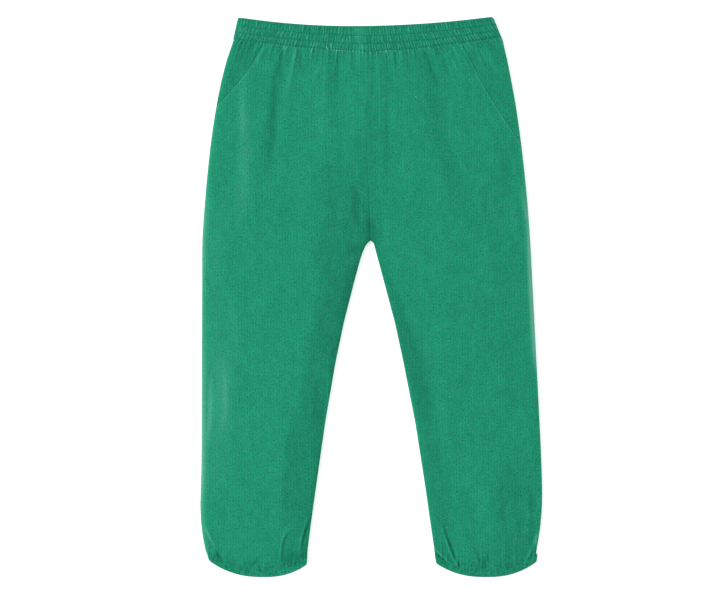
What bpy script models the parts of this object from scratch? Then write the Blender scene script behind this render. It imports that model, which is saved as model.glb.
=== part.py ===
"""A child's pull-on corduroy trousers, laid flat with the front upwards.

The garment lies on the plane z = 0 with its waist towards +Y. It is cut and sewn as two fronts,
two backs, a hip piece behind each slanted pocket opening, a waistband with three elastic channels
and an elastic hem casing on each leg. Right and left are the wearer's, so the right leg is at -X.
Every size below is in millimetres, and a mesh is made from it in metres.
"""
import math
from collections import namedtuple

import bpy
import numpy as np

MM = 0.001

# Cloth walls and the gaps between them
CLOTH_WALL = 1.2
BAND_WALL = 3.0
CASING_WALL = 2.0
SEAM_GAP = 0.3
BAND_SLOT = 0.5
CASING_SLOT = 0.4
LAYER_GAP = 0.3

# Side edges: the backs turn up to the side seam and the fronts turn down to it
SEAM_LEVEL = 1.7
FRONT_FOOT = SEAM_LEVEL + SEAM_GAP
EDGE_STEP = 0.5
BACK_TURN = 1.7
CROTCH_TURN = (1.0, 5.0)
POCKET_LAP = 8.0
POCKET_LAP_TAPER = 25.0
POCKET_END_CLEAR = 5.0

# Waistband: height of its low middle, the place of the middle and the bow of its two edges
BAND_TOP_MIDDLE = (-16.0, 221.9)
BAND_TOP_BOW = (0.00083, 0.00058)
BAND_TOP_POWER = 2.0
BAND_LOW_MIDDLE = (-3.0, 200.5)
BAND_LOW_BOW = (0.0150, 0.0170)
BAND_LOW_POWER = 1.4
BAND_TOP_ENDS = (-109.2, 99.9)
BAND_LOW_ENDS = (-113.2, 106.8)
BAND_EDGE_ROUND = 6.0
BAND_GATHERS = 66
BAND_GATHER_HEIGHT = 0.42
JOIN_X = -10.5
JOIN_HALF_WIDTH = 5.0

# Centre seam dip and the fade of the curved rows at both ends of a panel
SEAM_DIP = 0.5
SEAM_DIP_WIDTH = 1.8
TOP_FADE_LEVEL = 140.0
LOW_FADE_LEVEL = -150.0

HEM_GATHERS = 26
HEM_GATHER_HEIGHT = 0.34
HEM_BOW_POWER = 2.4
CASING_EDGE_ROUND = 4.0

STEPS_PER_GATHER = 3
EDGE_ANGLES = (22.5, 45.0, 67.5, 90.0)

SideRow = namedtuple("SideRow", "y right_side left_side")
SIDES = (
    SideRow(214.0, -112.2, 106.5),
    SideRow(210.0, -113.2, 107.9),
    SideRow(202.0, -115.9, 109.8),
    SideRow(194.0, -118.5, 111.6),
    SideRow(177.0, -122.9, 115.0),
    SideRow(153.0, -127.6, 119.2),
    SideRow(120.0, -132.3, 123.7),
    SideRow(79.0, -136.3, 128.0),
    SideRow(46.0, -138.5, 130.4),
    SideRow(12.0, -138.7, 132.2),
    SideRow(-38.0, -138.9, 134.8),
    SideRow(-87.0, -139.1, 137.3),
    SideRow(-136.0, -139.3, 139.6),
    SideRow(-160.0, -139.9, 140.2),
    SideRow(-172.0, -140.1, 140.0),
    SideRow(-185.0, -139.5, 139.0),
    SideRow(-196.5, -138.1, 137.5),
    SideRow(-206.0, -136.2, 135.9),
    SideRow(-214.0, -134.0, 134.8),
)

InnerRow = namedtuple("InnerRow", "y right_inner left_inner")
CROTCH_Y = 46.2
INNER_LEGS = (
    InnerRow(CROTCH_Y, -0.55, -0.25),
    InnerRow(44.6, -2.6, 1.7),
    InnerRow(43.0, -3.9, 2.3),
    InnerRow(41.3, -4.9, 2.8),
    InnerRow(38.0, -6.5, 3.6),
    InnerRow(30.0, -9.2, 5.8),
    InnerRow(12.0, -14.0, 10.6),
    InnerRow(-21.0, -22.4, 19.4),
    InnerRow(-54.0, -29.3, 26.5),
    InnerRow(-103.0, -37.7, 36.1),
    InnerRow(-152.0, -44.7, 43.8),
    InnerRow(-185.0, -49.3, 48.5),
    InnerRow(-206.0, -52.0, 51.6),
    InnerRow(-222.0, -53.2, 53.3),
)

SeamRow = namedtuple("SeamRow", "y x")
CENTRE_SEAM = (
    SeamRow(206.0, -3.9),
    SeamRow(200.4, -3.5),
    SeamRow(193.8, -2.3),
    SeamRow(164.3, -2.3),
    SeamRow(154.5, -4.6),
    SeamRow(136.4, -4.3),
    SeamRow(79.0, -1.8),
    SeamRow(CROTCH_Y, -0.4),
)

PocketRow = namedtuple("PocketRow", "y x")
POCKET_OPENINGS = {
    "right": (
        PocketRow(212.0, -86.0),
        PocketRow(202.0, -91.2),
        PocketRow(184.0, -101.9),
        PocketRow(157.0, -125.7),
        PocketRow(150.0, -132.0),
    ),
    "left": (
        PocketRow(212.0, 71.6),
        PocketRow(198.8, 78.5),
        PocketRow(169.2, 94.1),
        PocketRow(131.5, 118.3),
        PocketRow(118.0, 127.0),
    ),
}
POCKET_ENDS = {"right": 155.7, "left": 123.7}

# Crown of the fronts over the plane they lie on, and the width over which their edges round away
CrownRow = namedtuple("CrownRow", "y crown right_round left_round inner_round")
CROWNS = (
    CrownRow(210.0, 5.3, 6.0, 6.0, 6.0),
    CrownRow(190.0, 5.6, 7.0, 7.0, 6.0),
    CrownRow(120.0, 5.8, 8.0, 9.0, 7.0),
    CrownRow(46.0, 5.6, 9.0, 10.0, 8.0),
    CrownRow(-30.0, 5.4, 12.0, 8.0, 8.0),
    CrownRow(-90.0, 5.4, 16.0, 8.0, 8.0),
    CrownRow(-160.0, 5.2, 9.0, 8.0, 8.0),
    CrownRow(-200.0, 4.7, 7.0, 7.0, 6.0),
    CrownRow(-222.0, 4.1, 5.0, 5.0, 5.0),
)

# Soft folds: a line through three points, its half width, and its height (a trough is negative)
FoldRow = namedtuple("FoldRow", "side x0 y0 x1 y1 x2 y2 half_width height")
FOLDS = (
    FoldRow("right", -101.0, 186.0, -105.0, 125.0, -112.0, 58.0, 8.0, 0.5),
    FoldRow("right", -79.0, 192.0, -82.5, 145.0, -84.0, 82.0, 6.5, -1.5),
    FoldRow("right", -64.5, 190.0, -67.5, 172.0, -71.0, 152.0, 4.0, 0.6),
    FoldRow("right", -57.0, 200.0, -57.0, 194.0, -57.5, 186.0, 3.5, -0.8),
    FoldRow("right", -30.5, 190.0, -30.5, 178.0, -30.5, 160.0, 6.0, -0.9),
    FoldRow("right", -34.0, 112.0, -33.5, 90.0, -31.5, 62.0, 11.0, -1.0),
    FoldRow("right", -17.0, 98.0, -9.0, 76.0, -2.0, 56.0, 9.0, -1.2),
    FoldRow("right", -46.0, 30.0, -53.0, -40.0, -68.0, -130.0, 12.0, 0.5),
    FoldRow("right", -133.5, -195.0, -130.0, -205.0, -124.0, -215.0, 3.0, -0.8),
    FoldRow("right", -68.5, -193.0, -71.0, -205.0, -76.0, -218.0, 4.0, -0.8),
    FoldRow("left", 13.3, 175.0, 13.8, 130.0, 13.0, 78.0, 4.0, -0.8),
    FoldRow("left", 40.0, 186.0, 57.0, 136.0, 82.0, 58.0, 10.0, -1.3),
    FoldRow("left", 110.0, 112.0, 108.0, 88.0, 103.5, 56.0, 9.0, -0.8),
    FoldRow("left", 22.0, -14.0, 36.0, -62.0, 47.0, -106.0, 6.0, -0.8),
    FoldRow("left", 114.0, -142.0, 106.5, -168.0, 113.0, -192.0, 6.5, -0.9),
    FoldRow("left", 54.5, -203.0, 59.0, -213.0, 67.0, -221.0, 3.0, -0.8),
    FoldRow("left", 60.5, -190.0, 65.0, -205.0, 72.0, -219.0, 3.5, -0.7),
    FoldRow("left", 136.0, -190.0, 132.0, -203.0, 126.5, -216.0, 3.5, -0.9),
)
FOLD_STEPS = 12
LOWEST_CLOTH = 2.9

HemEdge = namedtuple("HemEdge", "middle_x middle_y inner_x inner_y outer_x outer_y")
CASING_TOPS = {
    "right": HemEdge(-88.4, -224.0, -52.3, -212.9, -134.9, -210.4),
    "left": HemEdge(94.1, -224.0, 52.1, -211.5, 136.4, -210.6),
}
CASING_ENDS = {
    "right": HemEdge(-88.4, -229.8, -52.8, -219.4, -133.2, -216.2),
    "left": HemEdge(94.1, -229.8, 53.2, -218.6, 135.8, -217.0),
}

# Levels at which a panel's cross-sections are taken, closer together at the crotch and the hem
PANEL_LEVELS = (
    202.8, 198.0, 190.0, 180.0, 170.0, 149.0, 139.0, 117.0, 106.0, 95.0, 82.0, 69.0, 58.0,
    51.0, 47.8, CROTCH_Y, 44.3, 41.0, 35.0, 22.0, 4.0, -20.0, -45.0, -70.0, -95.0, -120.0,
    -145.0, -168.0, -184.0, -196.0, -206.0, -214.0, -220.0, -223.7,
)
POCKET_END_LIFTS = (0.5, 2.5, 6.5)
BACK_LEVELS = (
    202.8, 194.0, 177.0, 155.0, 127.0, 97.0, 70.0, 52.0, CROTCH_Y, 44.3, 41.0, 34.0, 12.0,
    -21.0, -60.0, -103.0, -152.0, -172.0, -188.0, -202.0, -214.0, -223.7,
)
MIDDLE_STEPS = 11
BACK_STEPS = 14
POCKET_STEPS = 9

CLOTH_COLOURS = {
    "waistband": (0.018, 0.270, 0.165, 1.0),
    "front": (0.020, 0.292, 0.178, 1.0),
    "back": (0.016, 0.245, 0.150, 1.0),
    "pocket_side": (0.018, 0.275, 0.168, 1.0),
    "hem_casing": (0.018, 0.262, 0.160, 1.0),
}
CLOTH_ROUGHNESS = 0.88


def smooth(rows, at, column):
    """Cubic curve through one column of a table, as a function of the table's y column."""
    table = sorted(rows, key=lambda row: row.y)
    ys = np.array([row.y for row in table])
    values = np.array([getattr(row, column) for row in table])
    secants = np.diff(values) / np.diff(ys)
    slopes = np.concatenate(([secants[0]], 0.5 * (secants[1:] + secants[:-1]), [secants[-1]]))
    at = np.clip(at, ys[0], ys[-1])
    index = np.clip(np.searchsorted(ys, at, side="right") - 1, 0, len(ys) - 2)
    width = ys[index + 1] - ys[index]
    t = (at - ys[index]) / width
    low = (1 + 2 * t) * (1 - t) ** 2 * values[index]
    low += t * (1 - t) ** 2 * width * slopes[index]
    high = t * t * (3 - 2 * t) * values[index + 1]
    high += t * t * (t - 1) * width * slopes[index + 1]
    return low + high


def straight(rows, at, column):
    """Straight-line interpolation of one column of a table over its y column."""
    table = sorted(rows, key=lambda row: row.y)
    return np.interp(at, [row.y for row in table], [getattr(row, column) for row in table])


def fade(values, start, end):
    """Smooth step from 0 at start to 1 at end."""
    t = np.clip((values - start) / (end - start), 0.0, 1.0)
    return t * t * (3 - 2 * t)


def bowed(x, middle, bows, power):
    """Edge that bows up from its middle by a power of the distance, with a bow on each side."""
    bow = np.where(x < middle[0], bows[0], bows[1])
    return middle[1] + bow * np.abs(x - middle[0]) ** power


def band_low_edge(x):
    """Lower edge of the waistband."""
    return bowed(x, BAND_LOW_MIDDLE, BAND_LOW_BOW, BAND_LOW_POWER)


def hem_curve(x, edge):
    """Edge of a hem casing: lowest at its middle, rising ever faster to its two ends."""
    towards_outer = (x - edge.middle_x) * np.sign(edge.outer_x) > 0
    reach = np.where(towards_outer, edge.outer_x - edge.middle_x, edge.inner_x - edge.middle_x)
    rise = np.where(towards_outer, edge.outer_y, edge.inner_y) - edge.middle_y
    return edge.middle_y + rise * np.abs((x - edge.middle_x) / reach) ** HEM_BOW_POWER


def side_x(side, y):
    """Side seam of one leg and hip."""
    return smooth(SIDES, y, side + "_side")


def inner_x(side, y):
    """Inner boundary of a panel: the centre seam above the crotch, the inner leg below it."""
    outwards = -1.0 if side == "right" else 1.0
    seam = straight(CENTRE_SEAM, y, "x") + outwards * 0.5 * SEAM_GAP
    return np.where(y >= CROTCH_Y, seam, straight(INNER_LEGS, y, side + "_inner"))


def pocket_x(side, y):
    """Slanted pocket opening."""
    return smooth(POCKET_OPENINGS[side], y, "x")


def front_edge_x(side, y):
    """Outer boundary of a front: the pocket opening where there is one, else the side seam."""
    return np.where(y > POCKET_ENDS[side], pocket_x(side, y), side_x(side, y))


def path_distance(x, y, path):
    """Shortest distance from each point to a path of straight stretches."""
    nearest = np.full(np.shape(x), np.inf)
    for (ax, ay), (bx, by) in zip(path[:-1], path[1:]):
        length = (bx - ax) ** 2 + (by - ay) ** 2
        t = np.clip(((x - ax) * (bx - ax) + (y - ay) * (by - ay)) / length, 0.0, 1.0)
        nearest = np.minimum(nearest, np.hypot(x - ax - t * (bx - ax), y - ay - t * (by - ay)))
    return nearest


def outline_path(side, line):
    """Points along the side seam or the inner leg, close enough for a distance to it."""
    if line == "side":
        levels = np.linspace(SIDES[0].y, SIDES[-1].y - 12.0, 60)
        return list(zip(side_x(side, levels), levels))
    levels = [row.y for row in INNER_LEGS]
    return list(zip(straight(INNER_LEGS, levels, side + "_inner"), levels))


def fold_path(fold):
    """Points along a fold: the curve that passes through its three points."""
    t = np.linspace(0.0, 1.0, FOLD_STEPS)
    first = (1 - t) * (1 - 2 * t)
    second = 4 * t * (1 - t)
    third = t * (2 * t - 1)
    xs = first * fold.x0 + second * fold.x1 + third * fold.x2
    ys = first * fold.y0 + second * fold.y1 + third * fold.y2
    return list(zip(xs, ys))


def rounding(distance, width):
    """Quarter-ellipse profile: 0 at the edge, 1 from the given width inwards."""
    t = np.clip(distance / width, 0.0, 1.0)
    return np.sqrt(1.0 - (1.0 - t) ** 2)


def front_height(side, x, y):
    """Height of a front's outer face over the surface that the garment lies on."""
    from_side = path_distance(x, y, outline_path(side, "side"))
    from_inner = path_distance(x, y, outline_path(side, "inner"))
    side_round = straight(CROWNS, y, side + "_round")
    inner_round = straight(CROWNS, y, "inner_round")
    crown = smooth(CROWNS, y, "crown")
    for fold in FOLDS:
        if fold.side == side:
            reach = path_distance(x, y, fold_path(fold)) / fold.half_width
            crown = crown + fold.height * np.exp(-reach ** 2)
    off_seam = (x - straight(CENTRE_SEAM, y, "x")) / SEAM_DIP_WIDTH
    crown = crown - SEAM_DIP * np.exp(-off_seam ** 2) * (y > CROTCH_Y)
    crown = np.maximum(crown, LOWEST_CLOTH)
    lift = rounding(from_side, side_round) * rounding(from_inner, inner_round)
    shoulder = FRONT_FOOT + EDGE_STEP
    return shoulder + (crown - shoulder) * lift


def front_slopes(side, x, y):
    """Slopes of a front's outer face along x and y, from central differences."""
    near = 0.05
    slope_x = front_height(side, x + near, y) - front_height(side, x - near, y)
    slope_y = front_height(side, x, y + near) - front_height(side, x, y - near)
    return slope_x / (2 * near), slope_y / (2 * near)


def panel_points(side, levels, fractions, outer_boundary):
    """Plan of a panel: its rows bend with the waistband above and the hem casing below.

    fractions(width) gives the place of each column between the inner and the outer boundary.
    """
    level = np.array(levels)[:, None]
    y = np.repeat(level, fractions(np.ones((1, 1))).shape[1], axis=1)
    top_share = fade(level, TOP_FADE_LEVEL, PANEL_LEVELS[0])
    low_share = fade(level, LOW_FADE_LEVEL, PANEL_LEVELS[-1])
    for _ in range(6):
        start = inner_x(side, y)
        end = outer_boundary(side, y)
        x = start + (end - start) * fractions(np.abs(end - start))
        top = band_low_edge(x) - SEAM_GAP - PANEL_LEVELS[0]
        low = hem_curve(x, CASING_TOPS[side]) + SEAM_GAP - PANEL_LEVELS[-1]
        y = level + top_share * top + low_share * low
    return x, y


def front_fractions(width):
    """Columns of a front: two at each edge for the turned edge, close ones, then even ones."""
    turn = 1.0 - np.cos(np.radians(EDGE_ANGLES))
    near = turn * CROWNS[3].inner_round / 100.0
    middle = np.linspace(near[-1], 1.0 - near[-1], MIDDLE_STEPS + 1)[1:-1]
    row = np.concatenate(([0.0, 0.0], near, middle, 1.0 - near[::-1], [1.0, 1.0]))
    return np.broadcast_to(row, (width.shape[0], len(row)))


def back_offsets():
    """Columns of a back at an edge: how far in and how high the turned-up edge is."""
    inwards = np.array([0.0, 0.0, 0.12, 0.5, 1.0]) * BACK_TURN
    heights = np.array([SEAM_LEVEL, SEAM_LEVEL - 0.3, 0.75, 0.2, 0.0])
    return inwards, heights


def grid_faces(rows, columns, flip):
    """Quads of an open grid of points."""
    faces = []
    for row in range(rows - 1):
        for column in range(columns - 1):
            a = row * columns + column
            quad = (a, a + 1, a + columns + 1, a + columns)
            faces.append(quad[::-1] if flip else quad)
    return faces


def new_object(name, points, faces, colour, collection):
    """One named sub-part with its own cloth material."""
    mesh = bpy.data.meshes.new(name)
    mesh.from_pydata([tuple(float(value) * MM for value in point) for point in points], [], faces)
    mesh.update()
    mesh.shade_smooth()
    piece = bpy.data.objects.new(name, mesh)
    collection.objects.link(piece)
    material = bpy.data.materials.new(name + "_cloth")
    material.use_nodes = True
    shader = material.node_tree.nodes["Principled BSDF"]
    shader.inputs["Base Color"].default_value = colour
    shader.inputs["Roughness"].default_value = CLOTH_ROUGHNESS
    shader.inputs["Metallic"].default_value = 0.0
    mesh.materials.append(material)
    return piece


def cloth_panel(name, x, y, z, facing_up, colour, collection):
    """Open surface through a grid of points, given the thickness of the cloth by Solidify."""
    rows, columns = x.shape
    runs_right = x[0, -1] > x[0, 0]
    points = np.stack([x, y, z], axis=-1).reshape(-1, 3)
    faces = grid_faces(rows, columns, flip=(runs_right == facing_up))
    piece = new_object(name, points, faces, colour, collection)
    wall = piece.modifiers.new("cloth wall", "SOLIDIFY")
    wall.thickness = CLOTH_WALL * MM
    wall.offset = -1.0
    wall.use_even_offset = False
    wall.use_quality_normals = True
    return piece


def build_front(side, collection):
    """Front of one leg and hip, cut away at the slanted pocket opening."""
    at_pocket_ends = tuple(end + lift for end in POCKET_ENDS.values() for lift in POCKET_END_LIFTS)
    levels = sorted(PANEL_LEVELS + at_pocket_ends, reverse=True)
    x, y = panel_points(side, levels, front_fractions, front_edge_x)
    z = front_height(side, x, y)
    z[:, 0] -= EDGE_STEP
    z[:, -1] -= EDGE_STEP
    return cloth_panel("front_" + side, x, y, z, True, CLOTH_COLOURS["front"], collection)


def build_back(side, collection):
    """Back of one leg and hip: flat where it rests, turned up along the side and the inner leg."""
    inwards, heights = back_offsets()

    def fractions(width):
        """Turned edge columns at both sides and even ones between them."""
        near = inwards / np.maximum(width.max(axis=1, keepdims=True), 10.0)
        middle = np.linspace(0.0, 1.0, BACK_STEPS + 1)[1:-1] * np.ones_like(near[:, :1])
        return np.concatenate((near, middle, 1.0 - near[:, ::-1]), axis=1)

    x, y = panel_points(side, BACK_LEVELS, fractions, side_x)
    z = np.zeros_like(x)
    turned = len(heights)
    z[:, -turned:] = heights[::-1]
    turned_share = fade(y[:, :turned], CROTCH_Y + CROTCH_TURN[0], CROTCH_Y - CROTCH_TURN[1])
    z[:, :turned] = heights * turned_share
    outwards = -1.0 if side == "right" else 1.0
    spread = np.linspace(0.0, BACK_TURN, turned) - inwards
    x[:, :turned] += outwards * spread * (1.0 - turned_share)
    return cloth_panel("back_" + side, x, y, z, False, CLOTH_COLOURS["back"], collection)


def build_pocket_side(side, collection):
    """Hip piece that shows beyond the pocket opening and runs on under the front's edge."""
    outwards = -1.0 if side == "right" else 1.0
    lap_shares = np.array([1.0, 0.5])
    shown = np.array([0.0, 0.12, 0.3, 0.5, 0.7, 0.84, 0.93, 0.98, 1.0, 1.0])
    end_y = POCKET_ENDS[side] + POCKET_END_CLEAR
    share = np.linspace(1.0, 0.0, POCKET_STEPS + 1)[:, None]
    y = np.full((POCKET_STEPS + 1, len(lap_shares) + len(shown)), end_y)
    for _ in range(6):
        opening = pocket_x(side, y[:, len(lap_shares):])
        on_show = opening + (side_x(side, y[:, len(lap_shares):]) - opening) * shown
        lap_y = y[:, :len(lap_shares)]
        lap = POCKET_LAP * np.clip((lap_y - POCKET_ENDS[side]) / POCKET_LAP_TAPER, 0.0, 1.0)
        under = pocket_x(side, lap_y) - outwards * lap * lap_shares
        x = np.concatenate((under, on_show), axis=1)
        y = end_y + (band_low_edge(x) - SEAM_GAP - end_y) * share
    drop = (CLOTH_WALL + LAYER_GAP) * np.concatenate((np.ones(len(lap_shares)), 1.0 - shown))
    slope_x, slope_y = front_slopes(side, x, y)
    length = np.sqrt(slope_x ** 2 + slope_y ** 2 + 1.0)
    z = front_height(side, x, y) - drop / length
    z[:, -1] -= EDGE_STEP
    x = x + drop * slope_x / length
    y = y + np.minimum(drop * slope_y / length, 0.0)
    colour = CLOTH_COLOURS["pocket_side"]
    return cloth_panel("pocket_side_" + side, x, y, z, True, colour, collection)


def gathers(along, down, count):
    """Uneven gathers: a wave across the piece whose height and place wander a little."""
    wander = 0.35 * np.sin(14.7 * along + 2.0 * down + 0.4)
    strength = 0.78 + 0.22 * np.sin(11.0 * along + 3.1 * down + 0.4)
    return strength * np.sin(along * count * math.tau + wander + 1.3 * down)


def ring_object(name, outer, inner, colour, collection):
    """Closed wall between an outer and an inner loop at each row, open through the middle."""
    rows, columns, _ = outer.shape
    points = np.concatenate((outer.reshape(-1, 3), inner.reshape(-1, 3)))
    shift = rows * columns
    faces = []
    for column in range(columns):
        after = (column + 1) % columns
        for row in range(rows - 1):
            a, b = row * columns + column, row * columns + after
            c, d = b + columns, a + columns
            faces.append((a, d, c, b))
            faces.append((shift + a, shift + b, shift + c, shift + d))
        low, low_after = (rows - 1) * columns + column, (rows - 1) * columns + after
        faces.append((column, after, shift + after, shift + column))
        faces.append((low_after, low, shift + low, shift + low_after))
    return new_object(name, points, faces, colour, collection)


def ring_columns(span, wall, edge_round, gather_count):
    """Places round a flattened ring, as shares of its width, with their share of the height.

    Returns the outer shares, the inner shares, the lift of the outer face above the ring's middle
    (negative below it), and the same for the inner face: 1, 0 or -1.
    """
    above = np.radians((60.0, 30.0, 0.0))
    below = np.radians((30.0, 60.0, 90.0))
    front = np.linspace(edge_round, span - edge_round, gather_count * STEPS_PER_GATHER + 1)
    back = np.linspace(span - 2.0 * wall, 2.0 * wall, BACK_STEPS + 1)
    corner_out = edge_round * (1.0 - np.cos(above))
    corner_in = wall + (edge_round - wall) * np.array([0.66, 0.33, 0.0])
    below_out = wall * (1.0 - np.cos(below))
    below_in = wall * np.array([1.15, 1.3, 1.5])
    outer = np.concatenate((front, span - corner_out, span - below_out, back,
                            below_out[::-1], corner_out[::-1]))
    inner = np.concatenate((front, span - corner_in, span - below_in, back,
                            below_in[::-1], corner_in[::-1]))
    lift = np.concatenate((np.ones(len(front)), np.sin(above), -np.sin(below),
                           -np.ones(len(back)), -np.sin(below)[::-1], np.sin(above)[::-1]))
    side = np.array([1.0, 1.0, 0.0])
    inside = np.concatenate((np.ones(len(front)), side, -np.ones(3 + len(back) + 3), side[::-1]))
    return outer / span, inner / span, lift, inside


def gathered_ring(name, edges, profile, cloth, count, height, colour, collection):
    """Flattened ring of gathered cloth, flat below, its gathers raised in the outer face above.

    edges is two functions that give the plan points of the ring's edges from one end (0) to the
    other (1). profile has a row (down, front_level, gather_share) for each section between them.
    cloth is the wall, the slot between the layers and the width over which the ends round away.
    """
    wall, slot, edge_round = cloth
    middle = wall + 0.5 * slot
    ends = edges[0](np.array([0.0, 1.0]))[0]
    outer_s, inner_s, lift, inside = ring_columns(ends[1] - ends[0], wall, edge_round, count)

    def section(shares, down):
        """Plan points of one section between the two edges."""
        x0, y0 = edges[0](shares)
        x1, y1 = edges[1](shares)
        return x0 + (x1 - x0) * down, y0 + (y1 - y0) * down

    outer_rows, inner_rows = [], []
    for down, front_level, gather_share in profile:
        x, y = section(outer_s, down)
        join = 1.0 - 0.6 * np.exp(-((x - JOIN_X) / JOIN_HALF_WIDTH) ** 2)
        raised = front_level + gather_share * height * join * gathers(outer_s, down, count)
        z = middle + np.where(lift > 0.0, (raised - middle) * lift, middle * lift)
        outer_rows.append(np.stack([x, y, z], axis=-1))
        x, y = section(inner_s, down)
        inner_rows.append(np.stack([x, y, middle + 0.5 * slot * inside], axis=-1))
    return ring_object(name, np.array(outer_rows), np.array(inner_rows), colour, collection)


def build_waistband(collection):
    """Waistband with three elastic channels, flattened, its front and back lying together."""
    def top(s):
        """Top edge of the waistband from its right end to its left end."""
        x = BAND_TOP_ENDS[0] + (BAND_TOP_ENDS[1] - BAND_TOP_ENDS[0]) * s
        return x, bowed(x, BAND_TOP_MIDDLE, BAND_TOP_BOW, BAND_TOP_POWER)

    def low(s):
        """Lower edge of the waistband from its right end to its left end."""
        x = BAND_LOW_ENDS[0] + (BAND_LOW_ENDS[1] - BAND_LOW_ENDS[0]) * s
        return x, band_low_edge(x)

    crest = 2 * BAND_WALL + BAND_SLOT
    valley = crest - 0.55
    profile = (
        (0.0, crest - 1.1, 0.5), (0.06, crest - 0.2, 0.9), (0.19, crest, 1.0),
        (0.335, valley, 0.45), (0.5, crest, 1.0), (0.665, valley, 0.45),
        (0.84, crest, 1.0), (1.0, valley - 0.3, 0.5),
    )
    cloth = (BAND_WALL, BAND_SLOT, BAND_EDGE_ROUND)
    return gathered_ring("waistband", (top, low), profile, cloth, BAND_GATHERS,
                         BAND_GATHER_HEIGHT, CLOTH_COLOURS["waistband"], collection)


def build_hem_casing(side, collection):
    """Elastic hem casing of one leg, flattened, following the round hem."""
    def edge_function(edge):
        """Points along one edge of the casing from its smaller x to its larger x."""
        ends = sorted((edge.inner_x, edge.outer_x))

        def points(s):
            """Point of the edge at each share of its width."""
            x = ends[0] + (ends[1] - ends[0]) * s
            return x, hem_curve(x, edge)
        return points

    crest = 2 * CASING_WALL + CASING_SLOT
    profile = (
        (0.0, crest - 0.5, 0.5), (0.3, crest, 1.0), (0.75, crest, 1.0), (1.0, crest - 0.9, 0.5),
    )
    edges = (edge_function(CASING_TOPS[side]), edge_function(CASING_ENDS[side]))
    cloth = (CASING_WALL, CASING_SLOT, CASING_EDGE_ROUND)
    return gathered_ring("hem_casing_" + side, edges, profile, cloth, HEM_GATHERS,
                         HEM_GATHER_HEIGHT, CLOTH_COLOURS["hem_casing"], collection)


def main():
    """Clear the scene and build the trousers piece by piece."""
    for thing in list(bpy.data.objects):
        bpy.data.objects.remove(thing, do_unlink=True)
    collection = bpy.data.collections.new("corduroy_trousers")
    bpy.context.scene.collection.children.link(collection)
    build_waistband(collection)
    for side in ("right", "left"):
        build_front(side, collection)
        build_back(side, collection)
        build_pocket_side(side, collection)
        build_hem_casing(side, collection)


main()
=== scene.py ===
"""Looks of a child's pull-on corduroy trousers that rest flat with their front upwards.

The cloth is cut and sewn as two fronts, two backs, a hip piece behind each slanted pocket opening,
a waistband with three elastic channels and an elastic hem casing on each leg. Right and left are
the wearer's, so the right leg is at -X, and the waist is towards +Y. Sizes and places are in
millimetres unless they say otherwise, and every mesh is made from them in metres.
"""
from __future__ import annotations

import logging
import math
from dataclasses import dataclass
from enum import Enum
from typing import NamedTuple

import bpy
import numpy as np
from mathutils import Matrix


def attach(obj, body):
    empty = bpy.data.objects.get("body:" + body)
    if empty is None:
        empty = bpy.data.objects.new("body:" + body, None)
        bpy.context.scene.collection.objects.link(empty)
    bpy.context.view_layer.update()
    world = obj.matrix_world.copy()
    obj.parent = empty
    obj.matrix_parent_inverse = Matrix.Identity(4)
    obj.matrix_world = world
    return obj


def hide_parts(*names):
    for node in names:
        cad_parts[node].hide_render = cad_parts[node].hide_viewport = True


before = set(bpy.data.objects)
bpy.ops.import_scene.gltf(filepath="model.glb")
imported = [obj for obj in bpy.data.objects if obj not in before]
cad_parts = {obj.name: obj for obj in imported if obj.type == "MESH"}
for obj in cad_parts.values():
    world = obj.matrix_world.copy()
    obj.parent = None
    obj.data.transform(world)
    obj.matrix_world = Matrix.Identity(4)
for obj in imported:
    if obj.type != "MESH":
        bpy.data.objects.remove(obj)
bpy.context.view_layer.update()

Array = np.ndarray
Colour = tuple[float, float, float]
LOG = logging.getLogger("corduroy_trousers")

MM = 0.001
BODY = "root"
CLOTH_MAP = "cloth"
TONE = "tone"


class Side(Enum):
    """One leg and hip of the trousers, named as the wearer names it."""

    RIGHT = "right"
    LEFT = "left"

    @property
    def outwards(self) -> float:
        """Direction along x from the centre seam to this side seam."""
        return -1.0 if self is Side.RIGHT else 1.0


class FoldedEdge(Enum):
    """Edge of a double band at which its cloth is folded over."""

    TOP = "top"
    BOTTOM = "bottom"


# Cloth: its thickness, the line of the centre seam, how far panels run under the bands
CLOTH = 0.7
SEAM_LINE = 0.04
JOINT_LAP = 0.12
LOWEST_CLOTH = 2.9

# Side edges: the backs turn up to the seam's level, and the fronts turn down to their foot
SEAM_LEVEL = 1.7
FRONT_FOOT = 2.0
EDGE_STEP = 0.5
FOOT_DROP = 0.76
BACK_TURN = 1.7
BACK_ROUND = 1.2
CROTCH_TURN = (1.0, 5.0)
CROTCH_Y = 46.2

# Pocket openings: fall of the front's edge, and how the hip piece runs on under it
OPENING_DROP = 0.12
POCKET_LAP = 8.0
POCKET_LAP_TAPER = 25.0
POCKET_END_CLEAR = 2.0
POCKET_DROP = 0.80
POCKET_STEP = 0.22

# Waistband: middle of its flat joined stretch, ends of its upper and lower edges, gathered length
BAND_JOIN_X = -10.5
BAND_TOP_ENDS = (-109.2, 99.9)
BAND_LOW_ENDS = (-113.2, 106.8)
BAND_SPAN = 215.0

# Panels: levels of the first and the last row, and levels from which rows bend with the bands
TOP_LEVEL = 202.8
LOW_LEVEL = -223.7
TOP_FADE_LEVEL = 140.0
LOW_FADE_LEVEL = -150.0
BEND_ROUNDS = 6

# Hems: how sharply their edges bow, and their gathered lengths
HEM_BOW_POWER = 2.4
HEM_SPANS = {Side.RIGHT: 84.0, Side.LEFT: 86.0}


class Bow(NamedTuple):
    """Edge that rises from its middle by a power of the distance, differently on each side."""

    x: float
    y: float
    right: float
    left: float
    power: float

    def at(self, x: Array) -> Array:
        """Level of the edge at each place."""
        rise = np.where(x < self.x, self.right, self.left)
        return self.y + rise * np.abs(x - self.x) ** self.power


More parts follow.
